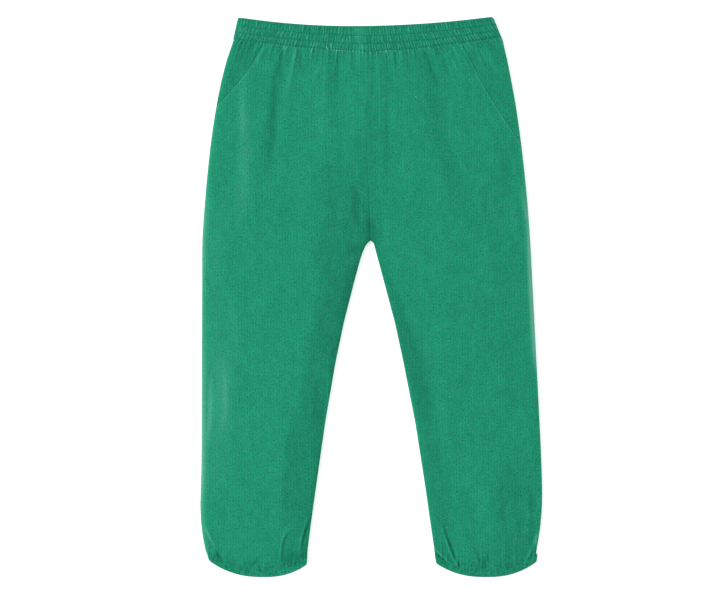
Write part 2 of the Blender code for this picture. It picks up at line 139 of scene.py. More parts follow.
BAND_TOP = Bow(-16.0, 221.9, 0.00083, 0.00058, 2.0)
BAND_LOW = Bow(-3.0, 200.5, 0.0150, 0.0170, 1.4)


class SideRow(NamedTuple):
    """Side seams at one level."""

    y: float
    right_side: float
    left_side: float


SIDES = (
    SideRow(214.0, -112.2, 106.5),
    SideRow(210.0, -113.2, 107.9),
    SideRow(202.0, -115.9, 109.8),
    SideRow(194.0, -118.5, 111.6),
    SideRow(177.0, -122.9, 115.0),
    SideRow(153.0, -127.6, 119.2),
    SideRow(120.0, -132.3, 123.7),
    SideRow(79.0, -136.3, 128.0),
    SideRow(46.0, -138.5, 130.4),
    SideRow(12.0, -138.7, 132.2),
    SideRow(-38.0, -138.9, 134.8),
    SideRow(-87.0, -139.1, 137.3),
    SideRow(-136.0, -139.3, 139.6),
    SideRow(-160.0, -139.9, 140.2),
    SideRow(-172.0, -140.1, 140.0),
    SideRow(-185.0, -139.5, 139.0),
    SideRow(-196.5, -138.1, 137.5),
    SideRow(-206.0, -136.2, 135.9),
    SideRow(-214.0, -134.0, 134.8),
)


class InnerRow(NamedTuple):
    """Inner legs at one level."""

    y: float
    right_inner: float
    left_inner: float


INNER_LEGS = (
    InnerRow(CROTCH_Y, -0.55, -0.25),
    InnerRow(44.6, -2.6, 1.7),
    InnerRow(43.0, -3.9, 2.3),
    InnerRow(41.3, -4.9, 2.8),
    InnerRow(38.0, -6.5, 3.6),
    InnerRow(30.0, -9.2, 5.8),
    InnerRow(12.0, -14.0, 10.6),
    InnerRow(-21.0, -22.4, 19.4),
    InnerRow(-54.0, -29.3, 26.5),
    InnerRow(-103.0, -37.7, 36.1),
    InnerRow(-152.0, -44.7, 43.8),
    InnerRow(-185.0, -49.3, 48.5),
    InnerRow(-206.0, -52.0, 51.6),
    InnerRow(-222.0, -53.2, 53.3),
)


class ShadeRow(NamedTuple):
    """Painted shade beside an inner leg at one level: where it sets in, where it is full, its tone."""

    y: float
    start: float
    full: float
    depth: float


# Painted shade along the inner legs, where the cloth slopes away from the light
INNER_PAINTED_SHADES = {
    Side.RIGHT: (
        ShadeRow(140.0, -38.7, -26.0, 0.0),
        ShadeRow(120.0, -39.0, -33.0, -0.08),
        ShadeRow(87.0, -40.0, -34.0, -0.16),
        ShadeRow(54.0, -46.0, -34.0, -0.25),
        ShadeRow(38.0, -55.0, -38.0, -0.30),
        ShadeRow(21.5, -54.0, -30.0, -0.37),
        ShadeRow(5.0, -53.5, -30.0, -0.38),
        ShadeRow(-11.0, -53.0, -36.0, -0.36),
        ShadeRow(-28.0, -53.0, -43.5, -0.32),
        ShadeRow(-44.0, -55.0, -48.0, -0.29),
        ShadeRow(-68.0, -59.5, -49.0, -0.29),
        ShadeRow(-85.0, -65.5, -50.0, -0.33),
        ShadeRow(-98.0, -72.0, -57.0, -0.32),
        ShadeRow(-118.0, -73.0, -66.0, -0.31),
        ShadeRow(-134.0, -74.0, -68.5, -0.29),
        ShadeRow(-167.0, -77.5, -71.0, -0.27),
        ShadeRow(-222.0, -78.5, -72.0, -0.25),
    ),
    Side.LEFT: (
        ShadeRow(60.0, 9.0, 2.0, -0.16),
        ShadeRow(44.0, 10.0, 3.5, -0.26),
        ShadeRow(34.0, 13.0, 7.5, -0.30),
        ShadeRow(5.0, 22.5, 17.0, -0.28),
        ShadeRow(-20.0, 33.0, 26.0, -0.32),
        ShadeRow(-34.0, 42.0, 34.0, -0.34),
        ShadeRow(-52.0, 47.5, 39.0, -0.30),
        ShadeRow(-73.0, 53.0, 43.0, -0.28),
        ShadeRow(-93.0, 58.5, 47.0, -0.27),
        ShadeRow(-118.0, 63.0, 51.0, -0.22),
        ShadeRow(-150.0, 66.5, 57.0, -0.18),
        ShadeRow(-183.0, 71.0, 62.0, -0.15),
        ShadeRow(-222.0, 74.0, 64.0, -0.16),
    ),
}


class RimRow(NamedTuple):
    """Painted highlight along the two side seams at one level, where the cloth rounds away."""

    y: float
    right: float
    left: float


# Painted highlight along the side seams, where the cloth rounds away
RIM_HIGHLIGHTS = (
    RimRow(205.0, 0.25, 0.35),
    RimRow(140.0, 0.30, 0.40),
    RimRow(95.0, 0.40, 0.70),
    RimRow(60.0, 0.85, 1.30),
    RimRow(35.0, 0.90, 2.00),
    RimRow(0.0, 0.45, 2.40),
    RimRow(-40.0, 0.60, 2.00),
    RimRow(-65.0, 0.90, 0.50),
    RimRow(-115.0, 1.10, 0.35),
    RimRow(-150.0, 1.10, 0.40),
    RimRow(-185.0, 0.70, 0.45),
    RimRow(-215.0, 0.20, 0.10),
)


class LineRow(NamedTuple):
    """Point of a seam or an opening."""

    y: float
    x: float


CENTRE_SEAM = (
    LineRow(206.0, -3.9),
    LineRow(200.4, -3.5),
    LineRow(193.8, -2.3),
    LineRow(164.3, -2.3),
    LineRow(154.5, -4.6),
    LineRow(136.4, -4.3),
    LineRow(79.0, -1.8),
    LineRow(CROTCH_Y, -0.4),
)
POCKET_OPENINGS = {
    Side.RIGHT: (
        LineRow(212.0, -86.0),
        LineRow(202.0, -91.2),
        LineRow(184.0, -101.9),
        LineRow(157.0, -125.7),
        LineRow(150.0, -132.0),
    ),
    Side.LEFT: (
        LineRow(212.0, 71.6),
        LineRow(198.8, 78.5),
        LineRow(169.2, 94.1),
        LineRow(131.5, 118.3),
        LineRow(118.0, 127.0),
    ),
}
POCKET_ENDS = {Side.RIGHT: 155.7, Side.LEFT: 123.7}


class HemEdge(NamedTuple):
    """Edge of a hem casing: its lowest point and its two ends."""

    middle_x: float
    middle_y: float
    inner_x: float
    inner_y: float
    outer_x: float
    outer_y: float


CASING_TOPS = {
    Side.RIGHT: HemEdge(-88.4, -224.0, -52.3, -212.9, -134.9, -210.4),
    Side.LEFT: HemEdge(94.1, -224.0, 52.1, -211.5, 136.4, -210.6),
}
CASING_ENDS = {
    Side.RIGHT: HemEdge(-88.4, -229.8, -52.8, -219.4, -133.2, -216.2),
    Side.LEFT: HemEdge(94.1, -229.8, 53.2, -218.6, 135.8, -217.0),
}


class CrownRow(NamedTuple):
    """Height of the fronts at one level, and the widths over which their edges round away."""

    y: float
    crown: float
    right_round: float
    left_round: float
    inner_round: float


CROWNS = (
    CrownRow(210.0, 5.3, 6.0, 6.0, 6.0),
    CrownRow(190.0, 5.6, 7.0, 7.0, 6.0),
    CrownRow(120.0, 5.8, 8.0, 9.0, 7.0),
    CrownRow(46.0, 5.6, 9.0, 10.0, 8.0),
    CrownRow(-30.0, 5.4, 12.0, 8.0, 8.0),
    CrownRow(-90.0, 5.4, 16.0, 8.0, 8.0),
    CrownRow(-160.0, 5.2, 9.0, 8.0, 8.0),
    CrownRow(-200.0, 4.7, 7.0, 7.0, 6.0),
    CrownRow(-222.0, 4.1, 5.0, 5.0, 5.0),
)


class Stroke(NamedTuple):
    """Stroke along a curve through three points, which fades over its half width.

    As a fold it is a ridge if its height is above 0, else a trough. As a tone it is painted light if its
    height is above 0, else painted shade, partly the nap of the pile. first and last are the shares left at
    the two ends.
    """

    side: Side
    x0: float
    y0: float
    x1: float
    y1: float
    x2: float
    y2: float
    half_width: float
    height: float
    first: float = 0.5
    last: float = 0.3


R, L = Side.RIGHT, Side.LEFT
BROAD_FOLDS = (
    Stroke(R, -101, 186, -105, 125, -112, 58, 8, 0.5),
    Stroke(R, -79, 192, -82.5, 145, -84, 82, 6.5, -1.5),
    Stroke(R, -64.5, 190, -67.5, 172, -71, 152, 4, 0.6),
    Stroke(R, -57, 200, -57, 194, -57.5, 186, 3.5, -0.8),
    Stroke(R, -30.5, 190, -30.5, 178, -30.5, 160, 6, -0.9),
    Stroke(R, -34, 112, -33.5, 90, -31.5, 62, 11, -1),
    Stroke(R, -17, 98, -9, 76, -2, 56, 9, -1.2),
    Stroke(R, -46, 30, -53, -40, -68, -130, 12, 0.5),
    Stroke(R, -134, -195, -131, -205, -125, -215, 2.4, -0.7),
    Stroke(L, 13.3, 175, 13.8, 130, 13, 78, 4, -0.8),
    Stroke(L, 40, 186, 57, 136, 82, 58, 10, -1.3),
    Stroke(L, 110, 112, 108, 88, 103.5, 56, 9, -0.8),
    Stroke(L, 22, -14, 36, -62, 47, -106, 6, -0.8),
    Stroke(L, 114, -142, 106.5, -168, 113, -192, 6.5, -0.9),
    Stroke(L, 60.5, -190, 65, -205, 72, -219, 3.5, -0.5),
    Stroke(L, 136, -190, 132, -203, 126.5, -216, 3.5, -0.7),
)
FINE_FOLDS = (
    Stroke(R, -90, 201.5, -93, 193, -98, 184, 1.3, 0.40, 0.8),
    Stroke(R, -73, 199.5, -73.5, 187, -74.5, 174, 1.8, -0.45, 0.8),
    Stroke(R, -57.5, 198.5, -57, 190, -57.5, 182, 1.6, -0.45, 0.8),
    Stroke(R, -51, 198, -51, 191, -52, 186, 1.3, -0.35, 0.8),
    Stroke(R, -38.5, 197.5, -38.5, 170, -39.5, 141, 1.6, 0.22, 0.8),
    Stroke(R, -28, 198.5, -28.5, 186, -28, 170, 2.2, -0.40, 0.8),
    Stroke(R, -14, 198, -14, 190, -14.5, 180, 1.6, -0.25, 0.8),
    Stroke(L, -0.8, 196, -0.8, 178, -1.4, 161, 0.8, 0.30, 0.8),
    Stroke(L, 30, 199, 31, 190, 32.5, 182, 1.5, -0.35, 0.8),
    Stroke(L, 45, 199, 49, 187, 54, 172, 2, -0.45, 0.8),
    Stroke(L, 56, 200, 60, 190, 64, 181, 1.4, -0.35, 0.8),
    Stroke(L, 64, 200, 68.5, 190, 74, 180, 1.4, 0.35, 0.8),
    Stroke(L, 76, 201, 81, 191, 86, 182, 1.3, -0.30, 0.8),
    Stroke(R, -65.8, 197.1, -66.6, 192.2, -67.4, 187.3, 1.4, -0.35, 0.7),
    Stroke(R, -90.8, 201.2, -90, 198.8, -89.6, 195.5, 1.2, -0.35, 0.8),
    Stroke(R, -75.6, 199.6, -77.3, 192.2, -79.3, 182.4, 1.5, 0.30, 0.8),
    Stroke(R, -42.8, 188.9, -44.5, 184.4, -46.1, 179.9, 1.4, 0.30),
    Stroke(R, -5.6, 151.6, -4.9, 152, -4.2, 152.5, 0.9, -0.30, 0.2, 1),
    Stroke(R, -136, -189, -131, -199, -127.8, -207.5, 1.2, 0.95, 0.5, 0.6),
    Stroke(R, -131, -200.5, -127, -208.5, -121.5, -217.5, 1.2, -0.65, 0.4, 0.6),
    Stroke(R, -64.3, -189, -72.1, -197.3, -74.8, -216, 1.1, 0.80),
    Stroke(R, -64, -191.5, -70.4, -199, -73, -215.5, 1.3, -0.40, 0.3, 0.6),
    Stroke(R, -49.4, -180, -54.8, -194.8, -57, -207.4, 1.2, -1.00),
    Stroke(R, -51.8, -181, -56.3, -195.5, -58.5, -207.1, 1, 0.80),
    Stroke(R, -65.4, -211.4, -63.7, -211, -62, -210.6, 1.7, -0.45),
    Stroke(R, -58.6, -213.4, -57.1, -212, -56.2, -210.2, 1.6, -0.45),
    Stroke(R, -99.9, -218.4, -95.5, -217.9, -91.5, -212.5, 1.4, -0.55),
    Stroke(R, -91.1, -224.4, -90.8, -224.4, -90.5, -224.4, 0.9, -1.60, 1, 1),
    Stroke(L, -3.6, 153, -1.8, 154, 0.5, 155.3, 0.9, -0.30, 1, 0.1),
    Stroke(L, -2.7, 132.3, -0.4, 130.5, 2.3, 128.3, 0.9, -0.25, 0.8, 0.2),
    Stroke(L, 6.4, 200.4, 6.8, 169.2, 8, 128.3, 1.1, 0.16),
    Stroke(L, 19.9, 199.6, 20.3, 193.8, 21.1, 187.3, 1.1, -0.40, 0.8),
    Stroke(L, 38.3, 182.8, 39.2, 175.8, 40, 169.2, 1.3, -0.20),
    Stroke(L, 93.3, 203.7, 100.7, 190.6, 108, 177.4, 1.3, 0.25, 0.7),
    Stroke(L, 58.3, -189.5, 64.2, -206.8, 70.2, -219.5, 1, 0.85),
    Stroke(L, 60, -189.3, 66, -206.6, 72.3, -220.3, 1.1, -0.85, 0.4, 0.6),
    Stroke(L, 53.1, -207.5, 60.5, -214.4, 67.4, -220.8, 1.1, 1.05, 0.8),
    Stroke(L, 52.7, -209.6, 57.8, -214.1, 64, -219.8, 1.2, -0.70, 0.8),
    Stroke(L, 53, -213.8, 56, -216.2, 59.5, -218.6, 0.9, -0.55, 0.8),
    Stroke(L, 85.1, -207.3, 88.3, -215, 90, -221, 1, -0.45),
    Stroke(L, 95.4, -210, 96, -213.9, 96.6, -217.4, 0.9, -0.50),
    Stroke(L, 93.3, -214.5, 93.6, -219, 93.7, -223.4, 0.9, -0.80),
    Stroke(L, 136.2, -193.3, 135, -198.1, 133.6, -203.7, 1.1, 1.00),
    Stroke(L, 131.6, -207.1, 128.4, -212.8, 126, -217.5, 1.1, 0.85),
    Stroke(L, 133.3, -207.6, 130.4, -213.3, 127.8, -217.6, 1.2, -0.65),
)
# Painted light and painted shade where the cloth faces towards or away from the light, partly the nap of the
# pile
LIGHT_AND_PILE_TONES = (
    Stroke(R, -1.8, 64, -1.2, 55, -0.6, 44, 3, -0.40, 0.2, 1),
    Stroke(R, -13, 98, -14.5, 80, -12.5, 60, 3.2, -0.19, 0.2, 0.6),
    Stroke(R, -33.5, 90, -32.5, 74, -31, 60, 2.2, -0.12, 0.3, 0.4),
    Stroke(R, -5, 78, -4, 66, -3, 54, 3.5, -0.12, 0.3, 0.9),
    Stroke(R, -11.5, 42, -17, 36.5, -23, 34, 3.2, -0.24, 0.9, 0.3),
    Stroke(R, -14.5, 25, -19, 11, -24, -4, 3.4, -0.16, 0.8, 0.4),
    Stroke(R, -33, -35, -37, -44, -36, -50, 2.5, -0.12, 0.6, 0.4),
    Stroke(R, -42, -70, -45.5, -84, -47, -102, 2.4, -0.16, 0.5, 0.4),
    Stroke(R, -36.5, -60, -36.4, -88, -42, -118, 1.3, 0.34, 0.5, 0.4),
    Stroke(R, -78, -207, -72, -212, -67, -216, 6, -0.18, 0.6, 0.9),
    Stroke(R, -75.5, 199, -80.6, 153, -83.4, 98, 3.6, -0.50, 0.5, 0.3),
    Stroke(R, -84.5, 192, -88, 165, -91, 130, 3.4, 0.22, 0.6, 0.3),
    Stroke(R, -32, 198, -31.5, 178, -32.5, 150, 4.5, -0.14, 0.9, 0.3),
    Stroke(R, -105.5, 188, -105.5, 159, -105, 132, 3, 0.38, 0.3, 0.5),
    Stroke(R, -104.5, 150, -104, 100, -110, 48, 6.5, 0.36, 0.5, 0.3),
    Stroke(R, -126, 72, -127.5, 30, -127, -20, 8, 0.22, 0.5, 0.5),
    Stroke(R, -117.5, 5, -112, -23.5, -110, -54, 3.6, 0.22, 0.3, 0.3),
    Stroke(R, -128, -20, -123, -74, -128, -150, 12, 0.36, 0.3, 0.5),
    Stroke(R, -131.5, -66, -132, -92, -134, -118, 1.9, 0.55, 0.5, 0.5),
    Stroke(R, -121.5, -52, -119.5, -82, -121.5, -106, 2.2, 0.30, 0.4, 0.4),
    Stroke(R, -8, 128, -7, 104, -5, 78, 6.5, -0.11, 0.4, 0.6),
    Stroke(R, -72.5, -195, -66.5, -186, -57.5, -179, 2.2, 0.24, 0.5, 0.3),
    Stroke(R, -64, 198, -67.5, 179, -71.5, 150, 2, 0.24, 1, 0.3),
    Stroke(R, -42, 194, -44.5, 186, -48, 177, 2, 0.20, 0.8, 0.4),
    Stroke(R, -41, 186, -42, 153, -43, 112, 4, 0.12, 0.5, 0.3),
    Stroke(R, -96, 6, -88, -60, -90, -142, 14, 0.10, 0.4, 0.4),
    Stroke(L, 0.4, 66, 1.2, 55, 2.4, 44, 3.2, -0.24, 0.3, 1),
    Stroke(L, 5, 66, 10, 42, 16, 15, 3, -0.08, 0.6, 0.4),
    Stroke(L, 30.8, -70, 35.6, -98, 41.8, -134, 1.5, 0.34, 0.5, 0.3),
    Stroke(L, 46, 177, 61, 120, 80, 63, 7, -0.12, 0.6, 0.3),
    Stroke(L, 42.5, 198, 48, 173, 54, 151, 5, -0.14, 0.8, 0.5),
    Stroke(L, 10.5, 195.5, 13, 149, 11.5, 102, 2.2, -0.12, 0.6, 0.3),
    Stroke(L, 12, 138, 15.5, 104, 18, 70, 7, -0.14, 0.4, 0.3),
    Stroke(L, 108.5, 124, 108.5, 90, 104, 52, 3.6, -0.13, 0.4, 0.3),
    Stroke(L, 120.5, 96, 123.5, 82, 126.5, 66, 1.8, 0.45, 0.4, 0.9),
    Stroke(L, 116, -140, 119, -168, 119, -206, 14, -0.20, 0.3, 0.8),
    Stroke(L, 107.5, -150, 107.5, -166, 110, -192, 2.2, -0.16, 0.5, 0.4),
    Stroke(L, 117.5, -146, 118, -162, 121, -192, 2.2, -0.14, 0.5, 0.4),
    Stroke(L, 130, -156, 130.8, -176, 129.5, -202, 2, -0.22, 0.5, 0.5),
    Stroke(L, 127.2, -166, 127.8, -180, 127, -194, 1.1, 0.26, 0.5, 0.4),
    Stroke(L, 104, 52, 110, -10, 118, -80, 9, -0.08, 0.5, 0.5),
    Stroke(L, 85, -138, 90, -160, 94, -186, 8, 0.14, 0.4, 0.4),
    Stroke(L, 55, -73, 58, -101, 60.5, -134, 5, 0.18, 0.4, 0.3),
    Stroke(L, 4.5, 195.5, 5.5, 177, 7, 161, 1.8, 0.22, 0.8, 0.4),
    Stroke(L, 88, -204, 94, -209, 99, -212, 8, -0.12, 0.5, 0.5),
    Stroke(L, 87.5, 204, 94, 195.5, 102.5, 185, 1.1, 0.30, 1, 0.5),
)
# Painted shade on the hip pieces, which sit lower than the fronts beyond the pocket openings
POCKET_PAINTED_SHADE = {Side.RIGHT: -0.24, Side.LEFT: -0.12}
STROKE_STEPS = 12


def straight(rows: tuple, at: Array, column: str) -> Array:
    """Interpolate one column of a table over its y column by straight lines.

    Args:
        rows: Table whose rows have a y.
        at: Levels at which the column is wanted.
        column: Name of the column.

    Returns:
        The column's value at each level.
    """
    table = sorted(rows, key=lambda row: row.y)
    return np.interp(at, [row.y for row in table], [getattr(row, column) for row in table])


def curved(rows: tuple, at: Array, column: str) -> Array:
    """Interpolate one column of a table over its y column by a smooth cubic curve.

    Args:
        rows: Table whose rows have a y.
        at: Levels at which the column is wanted.
        column: Name of the column.

    Returns:
        The column's value at each level, from a Hermite cubic with averaged secant slopes.
    """
    table = sorted(rows, key=lambda row: row.y)
    ys = np.array([row.y for row in table])
    values = np.array([getattr(row, column) for row in table])
    secants = np.diff(values) / np.diff(ys)
    slopes = np.concatenate(([secants[0]], 0.5 * (secants[1:] + secants[:-1]), [secants[-1]]))
    at = np.clip(at, ys[0], ys[-1])
    index = np.clip(np.searchsorted(ys, at, side="right") - 1, 0, len(ys) - 2)
    width = ys[index + 1] - ys[index]
    t = (at - ys[index]) / width
    low = (1 + 2 * t) * (1 - t) ** 2 * values[index]
    low += t * (1 - t) ** 2 * width * slopes[index]
    high = t * t * (3 - 2 * t) * values[index + 1]
    high += t * t * (t - 1) * width * slopes[index + 1]
    return low + high


def fade(values: Array, start: float, end: float) -> Array:
    """Smooth step from 0 at start to 1 at end."""
    t = np.clip((values - start) / (end - start), 0.0, 1.0)
    return t * t * (3 - 2 * t)


def rounding(distance: Array, width: Array | float) -> Array:
    """Quarter-ellipse profile: 0 at an edge, 1 from the given width inwards."""
    t = np.clip(distance / width, 0.0, 1.0)
    return np.sqrt(1.0 - (1.0 - t) ** 2)


def along_path(x: Array, y: Array, path: list[tuple[float, float]]) -> tuple[Array, Array]:
    """Measure points against a path of straight stretches.

    Args:
        x: Places along x.
        y: Places along y.
        path: Points of the path in order.

    Returns:
        The shortest distance to the path, and the share of the path at which it is reached.
    """
    nearest = np.full(np.shape(x), np.inf)
    share = np.zeros(np.shape(x))
    for number, ((ax, ay), (bx, by)) in enumerate(zip(path[:-1], path[1:])):
        length = (bx - ax) ** 2 + (by - ay) ** 2
        t = np.clip(((x - ax) * (bx - ax) + (y - ay) * (by - ay)) / length, 0.0, 1.0)
        away = np.hypot(x - ax - t * (bx - ax), y - ay - t * (by - ay))
        share = np.where(away < nearest, (number + t) / (len(path) - 1), share)
        nearest = np.minimum(nearest, away)
    return nearest, share


def value_noise(u: Array, v: Array, seed: int) -> Array:
    """Smooth noise with cells of size 1: random lattice values blended by a smooth step.

    Args:
        u: First coordinate, in cells.
        v: Second coordinate, in cells.
        seed: Seed of the lattice.

    Returns:
        Values between -1 and 1.
    """
    size = 64
    lattice = np.random.default_rng(seed).uniform(-1.0, 1.0, (size, size))
    column, row = np.floor(u).astype(int), np.floor(v).astype(int)
    s, t = fade(u - column, 0.0, 1.0), fade(v - row, 0.0, 1.0)
    low = lattice[row % size, column % size] * (1 - s)
    low += lattice[row % size, (column + 1) % size] * s
    high = lattice[(row + 1) % size, column % size] * (1 - s)
    high += lattice[(row + 1) % size, (column + 1) % size] * s
    return low * (1 - t) + high * t


def stepped(stops: tuple[float, ...], steps: tuple[float, ...]) -> Array:
    """Falling levels between stops, each stretch with its own step.

    Args:
        stops: Levels between which the step changes, falling.
        steps: Distance between two levels in each stretch.

    Returns:
        All levels, falling.
    """
    stretches = []
    for start, end, step in zip(stops[:-1], stops[1:], steps):
        count = max(1, round(abs(end - start) / step))
        stretches.append(np.linspace(start, end, count + 1)[:-1])
    return np.concatenate(stretches + [np.array([stops[-1]])])


def band_low_edge(x: Array) -> Array:
    """Lower edge of the waistband."""
    return BAND_LOW.at(x)


def hem_curve(x: Array, edge: HemEdge) -> Array:
    """Edge of a hem casing: lowest at its middle, rising ever faster to its two ends.

    Args:
        x: Places along x.
        edge: Edge of the casing.

    Returns:
        Level of the edge at each place.
    """
    towards_outer = (x - edge.middle_x) * np.sign(edge.outer_x) > 0
    reach = np.where(towards_outer, edge.outer_x - edge.middle_x, edge.inner_x - edge.middle_x)
    rise = np.where(towards_outer, edge.outer_y, edge.inner_y) - edge.middle_y
    return edge.middle_y + rise * np.abs((x - edge.middle_x) / reach) ** HEM_BOW_POWER


def side_x(side: Side, y: Array) -> Array:
    """Side seam of one leg and hip."""
    return curved(SIDES, y, side.value + "_side")


def seam_x(y: Array) -> Array:
    """Centre seam."""
    return straight(CENTRE_SEAM, y, "x")


def inner_x(side: Side, y: Array) -> Array:
    """Inner boundary of a panel: the centre seam above the crotch, the inner leg below it."""
    seam = seam_x(y) + side.outwards * 0.5 * SEAM_LINE
    return np.where(y >= CROTCH_Y, seam, straight(INNER_LEGS, y, side.value + "_inner"))


def pocket_x(side: Side, y: Array) -> Array:
    """Slanted pocket opening."""
    return curved(POCKET_OPENINGS[side], y, "x")


def front_edge_x(side: Side, y: Array) -> Array:
    """Outer boundary of a front: the pocket opening where there is one, else the side seam."""
    return np.where(y > POCKET_ENDS[side], pocket_x(side, y), side_x(side, y))


@dataclass(frozen=True)
class Gathers:
    """Ridges side by side across a strip of cloth, each one bent a little on its way down.

    Attributes:
        places: Place of each ridge along the strip, on a few lines from its top to its bottom.
        heights: Height of each ridge, in the same layout.
        lengths: How far each ridge runs on below the strip.
        sharpness: Power of the cosine that shapes a ridge, higher for narrower crests.
    """

    places: Array
    heights: Array
    lengths: Array
    sharpness: float = 1.4

    @classmethod
    def spread(cls, span: float, spacing: float, height: float, lean: float, seed: int,
               sharpness: float = 1.4) -> Gathers:
        """Spread ridges at uneven distances over a strip.

        Args:
            span: Length of the strip.
            spacing: Mean distance between two ridges.
            height: Mean height of a ridge.
            lean: How far the ridges lean outwards from the strip's middle on their way down.
            seed: Seed of the unevenness.
            sharpness: Power of the cosine that shapes a ridge.

        Returns:
            The ridges, whose places, heights and lengths vary about their means.
        """
        rng = np.random.default_rng(seed)
        count = round(span / spacing) + 5
        place = np.cumsum(spacing * rng.uniform(0.6, 1.4, count)) - 2.5 * spacing
        strength = rng.uniform(0.5, 1.5, count)
        places, heights = [], []
        for line in range(3):
            off = place - 0.5 * span
            leaning = lean * 0.5 * line * off / (np.abs(off) + 20.0)
            wander = spacing * rng.uniform(-0.35, 0.35, count)
            places.append(np.maximum.accumulate(place + leaning + wander))
            heights.append(height * strength * rng.uniform(0.6, 1.4, count))
        lengths = spacing * rng.uniform(0.6, 1.9, count)
        return cls(np.array(places), np.array(heights), lengths, sharpness)

    def ridges(self, place: Array, line: Array, away: Array | float = 0.0) -> Array:
        """Height of the cloth over the valleys between the ridges.

        The ridge number runs on smoothly from one line to the next, and a cosine profile rises and
        falls once for each number.

        Args:
            place: Place along the strip.
            line: Number of the line, 0 at the top of the strip, 2 at its bottom.
            away: Distance below the strip.

        Returns:
            Heights, which die out exponentially below the strip.
        """
        before = np.clip(np.floor(line).astype(int), 0, 1)
        share = np.clip(line - before, 0.0, 1.0)
        numbers = np.arange(self.places.shape[1])
        per_line = np.array([np.interp(place, one, numbers) for one in self.places])
        low = np.take_along_axis(per_line, before[None], axis=0)[0]
        high = np.take_along_axis(per_line, before[None] + 1, axis=0)[0]
        number = low + (high - low) * share
        nearest = np.clip(np.rint(number).astype(int), 0, len(numbers) - 1)
        height = self.heights[before, nearest] * (1 - share) + self.heights[before + 1, nearest] * share
        profile = np.abs(np.cos(math.pi * (number - nearest))) ** self.sharpness
        return height * profile * np.exp(-away / self.lengths[nearest])

    def mean(self, away: Array | float = 0.0) -> Array:
        """Mean height of the ridges below the strip."""
        return 0.5 * self.heights.mean() * np.exp(-away / self.lengths.mean())


@dataclass(frozen=True)
class Finish:
    """What every finish of the trousers has: a name, and a slot that is not used."""

    name: str
    slot: str

    def nodes(self) -> tuple[bpy.types.Material, Nodes]:
        """New material for the finish, with a helper for its nodes.

        Returns:
            The material, and the helper.
        """
        material = bpy.data.materials.new(self.name)
        material.use_nodes = True
        return material, Nodes(material.node_tree)


class Nodes:
    """Short way to make and link the nodes of one material."""

    def __init__(self, tree: bpy.types.NodeTree) -> None:
        """Keep the tree and its shader."""
        self.tree = tree
        self.shader = tree.nodes["Principled BSDF"]

    def put(self, socket: bpy.types.NodeSocket, value: object) -> None:
        """Set a socket to a value, or link it if the value is another node's socket.

        Args:
            socket: Input to set.
            value: Number, colour or another node's socket.
        """
        if isinstance(value, bpy.types.NodeSocket):
            self.tree.links.new(value, socket)
        else:
            socket.default_value = value

    def math(self, operation: str, *values: object) -> bpy.types.NodeSocket:
        """Result of a math node on numbers or sockets.

        Args:
            operation: Name of the operation.
            values: Its numbers or sockets, in order.

        Returns:
            Socket with the result.
        """
        node = self.tree.nodes.new("ShaderNodeMath")
        node.operation = operation
        for socket, value in zip(node.inputs, values):
            self.put(socket, value)
        return node.outputs[0]

    def noise(self, vector: bpy.types.NodeSocket, scale: float, detail: float) -> bpy.types.NodeSocket:
        """Noise of a given scale on a vector, between 0 and 1.

        Args:
            vector: Socket with the places.
            scale: Cells in a metre.
            detail: Number of finer layers.

        Returns:
            Socket with the noise.
        """
        node = self.tree.nodes.new("ShaderNodeTexNoise")
        self.put(node.inputs["Vector"], vector)
        node.inputs["Scale"].default_value = scale
        node.inputs["Detail"].default_value = detail
        node.inputs["Roughness"].default_value = 0.55
        return node.outputs["Fac"]

    def stretched(self, vector: bpy.types.NodeSocket, scale: Colour, shift: Colour) -> bpy.types.NodeSocket:
        """Vector scaled and shifted by a mapping node.

        Args:
            vector: Socket with the places.
            scale: Factor for each axis.
            shift: Shift along each axis.

        Returns:
            Socket with the new places.
        """
        node = self.tree.nodes.new("ShaderNodeMapping")
        self.put(node.inputs["Vector"], vector)
        node.inputs["Scale"].default_value = scale
        node.inputs["Location"].default_value = shift
        return node.outputs[0]

    def mix(self, share: object, first: object, second: object) -> bpy.types.NodeSocket:
        """Mixture of two colours.

        Args:
            share: Share of the second colour.
            first: Colour, or socket with one.
            second: Colour, or socket with one.

        Returns:
            Socket with the mixture.
        """
        node = self.tree.nodes.new("ShaderNodeMix")
        node.data_type = "RGBA"
        self.put(node.inputs[0], share)
        for socket, colour in ((node.inputs[6], first), (node.inputs[7], second)):
            self.put(socket, colour if isinstance(colour, bpy.types.NodeSocket) else (*colour, 1.0))
        return node.outputs[2]

    def scaled(self, colour: bpy.types.NodeSocket, by: object) -> bpy.types.NodeSocket:
        """Colour made lighter or darker by a factor.

        Args:
            colour: Socket with the colour.
            by: Number, or socket with one.

        Returns:
            Socket with the new colour.
        """
        node = self.tree.nodes.new("ShaderNodeVectorMath")
        node.operation = "SCALE"
        self.put(node.inputs[0], colour)
        self.put(node.inputs["Scale"], by)
        return node.outputs[0]


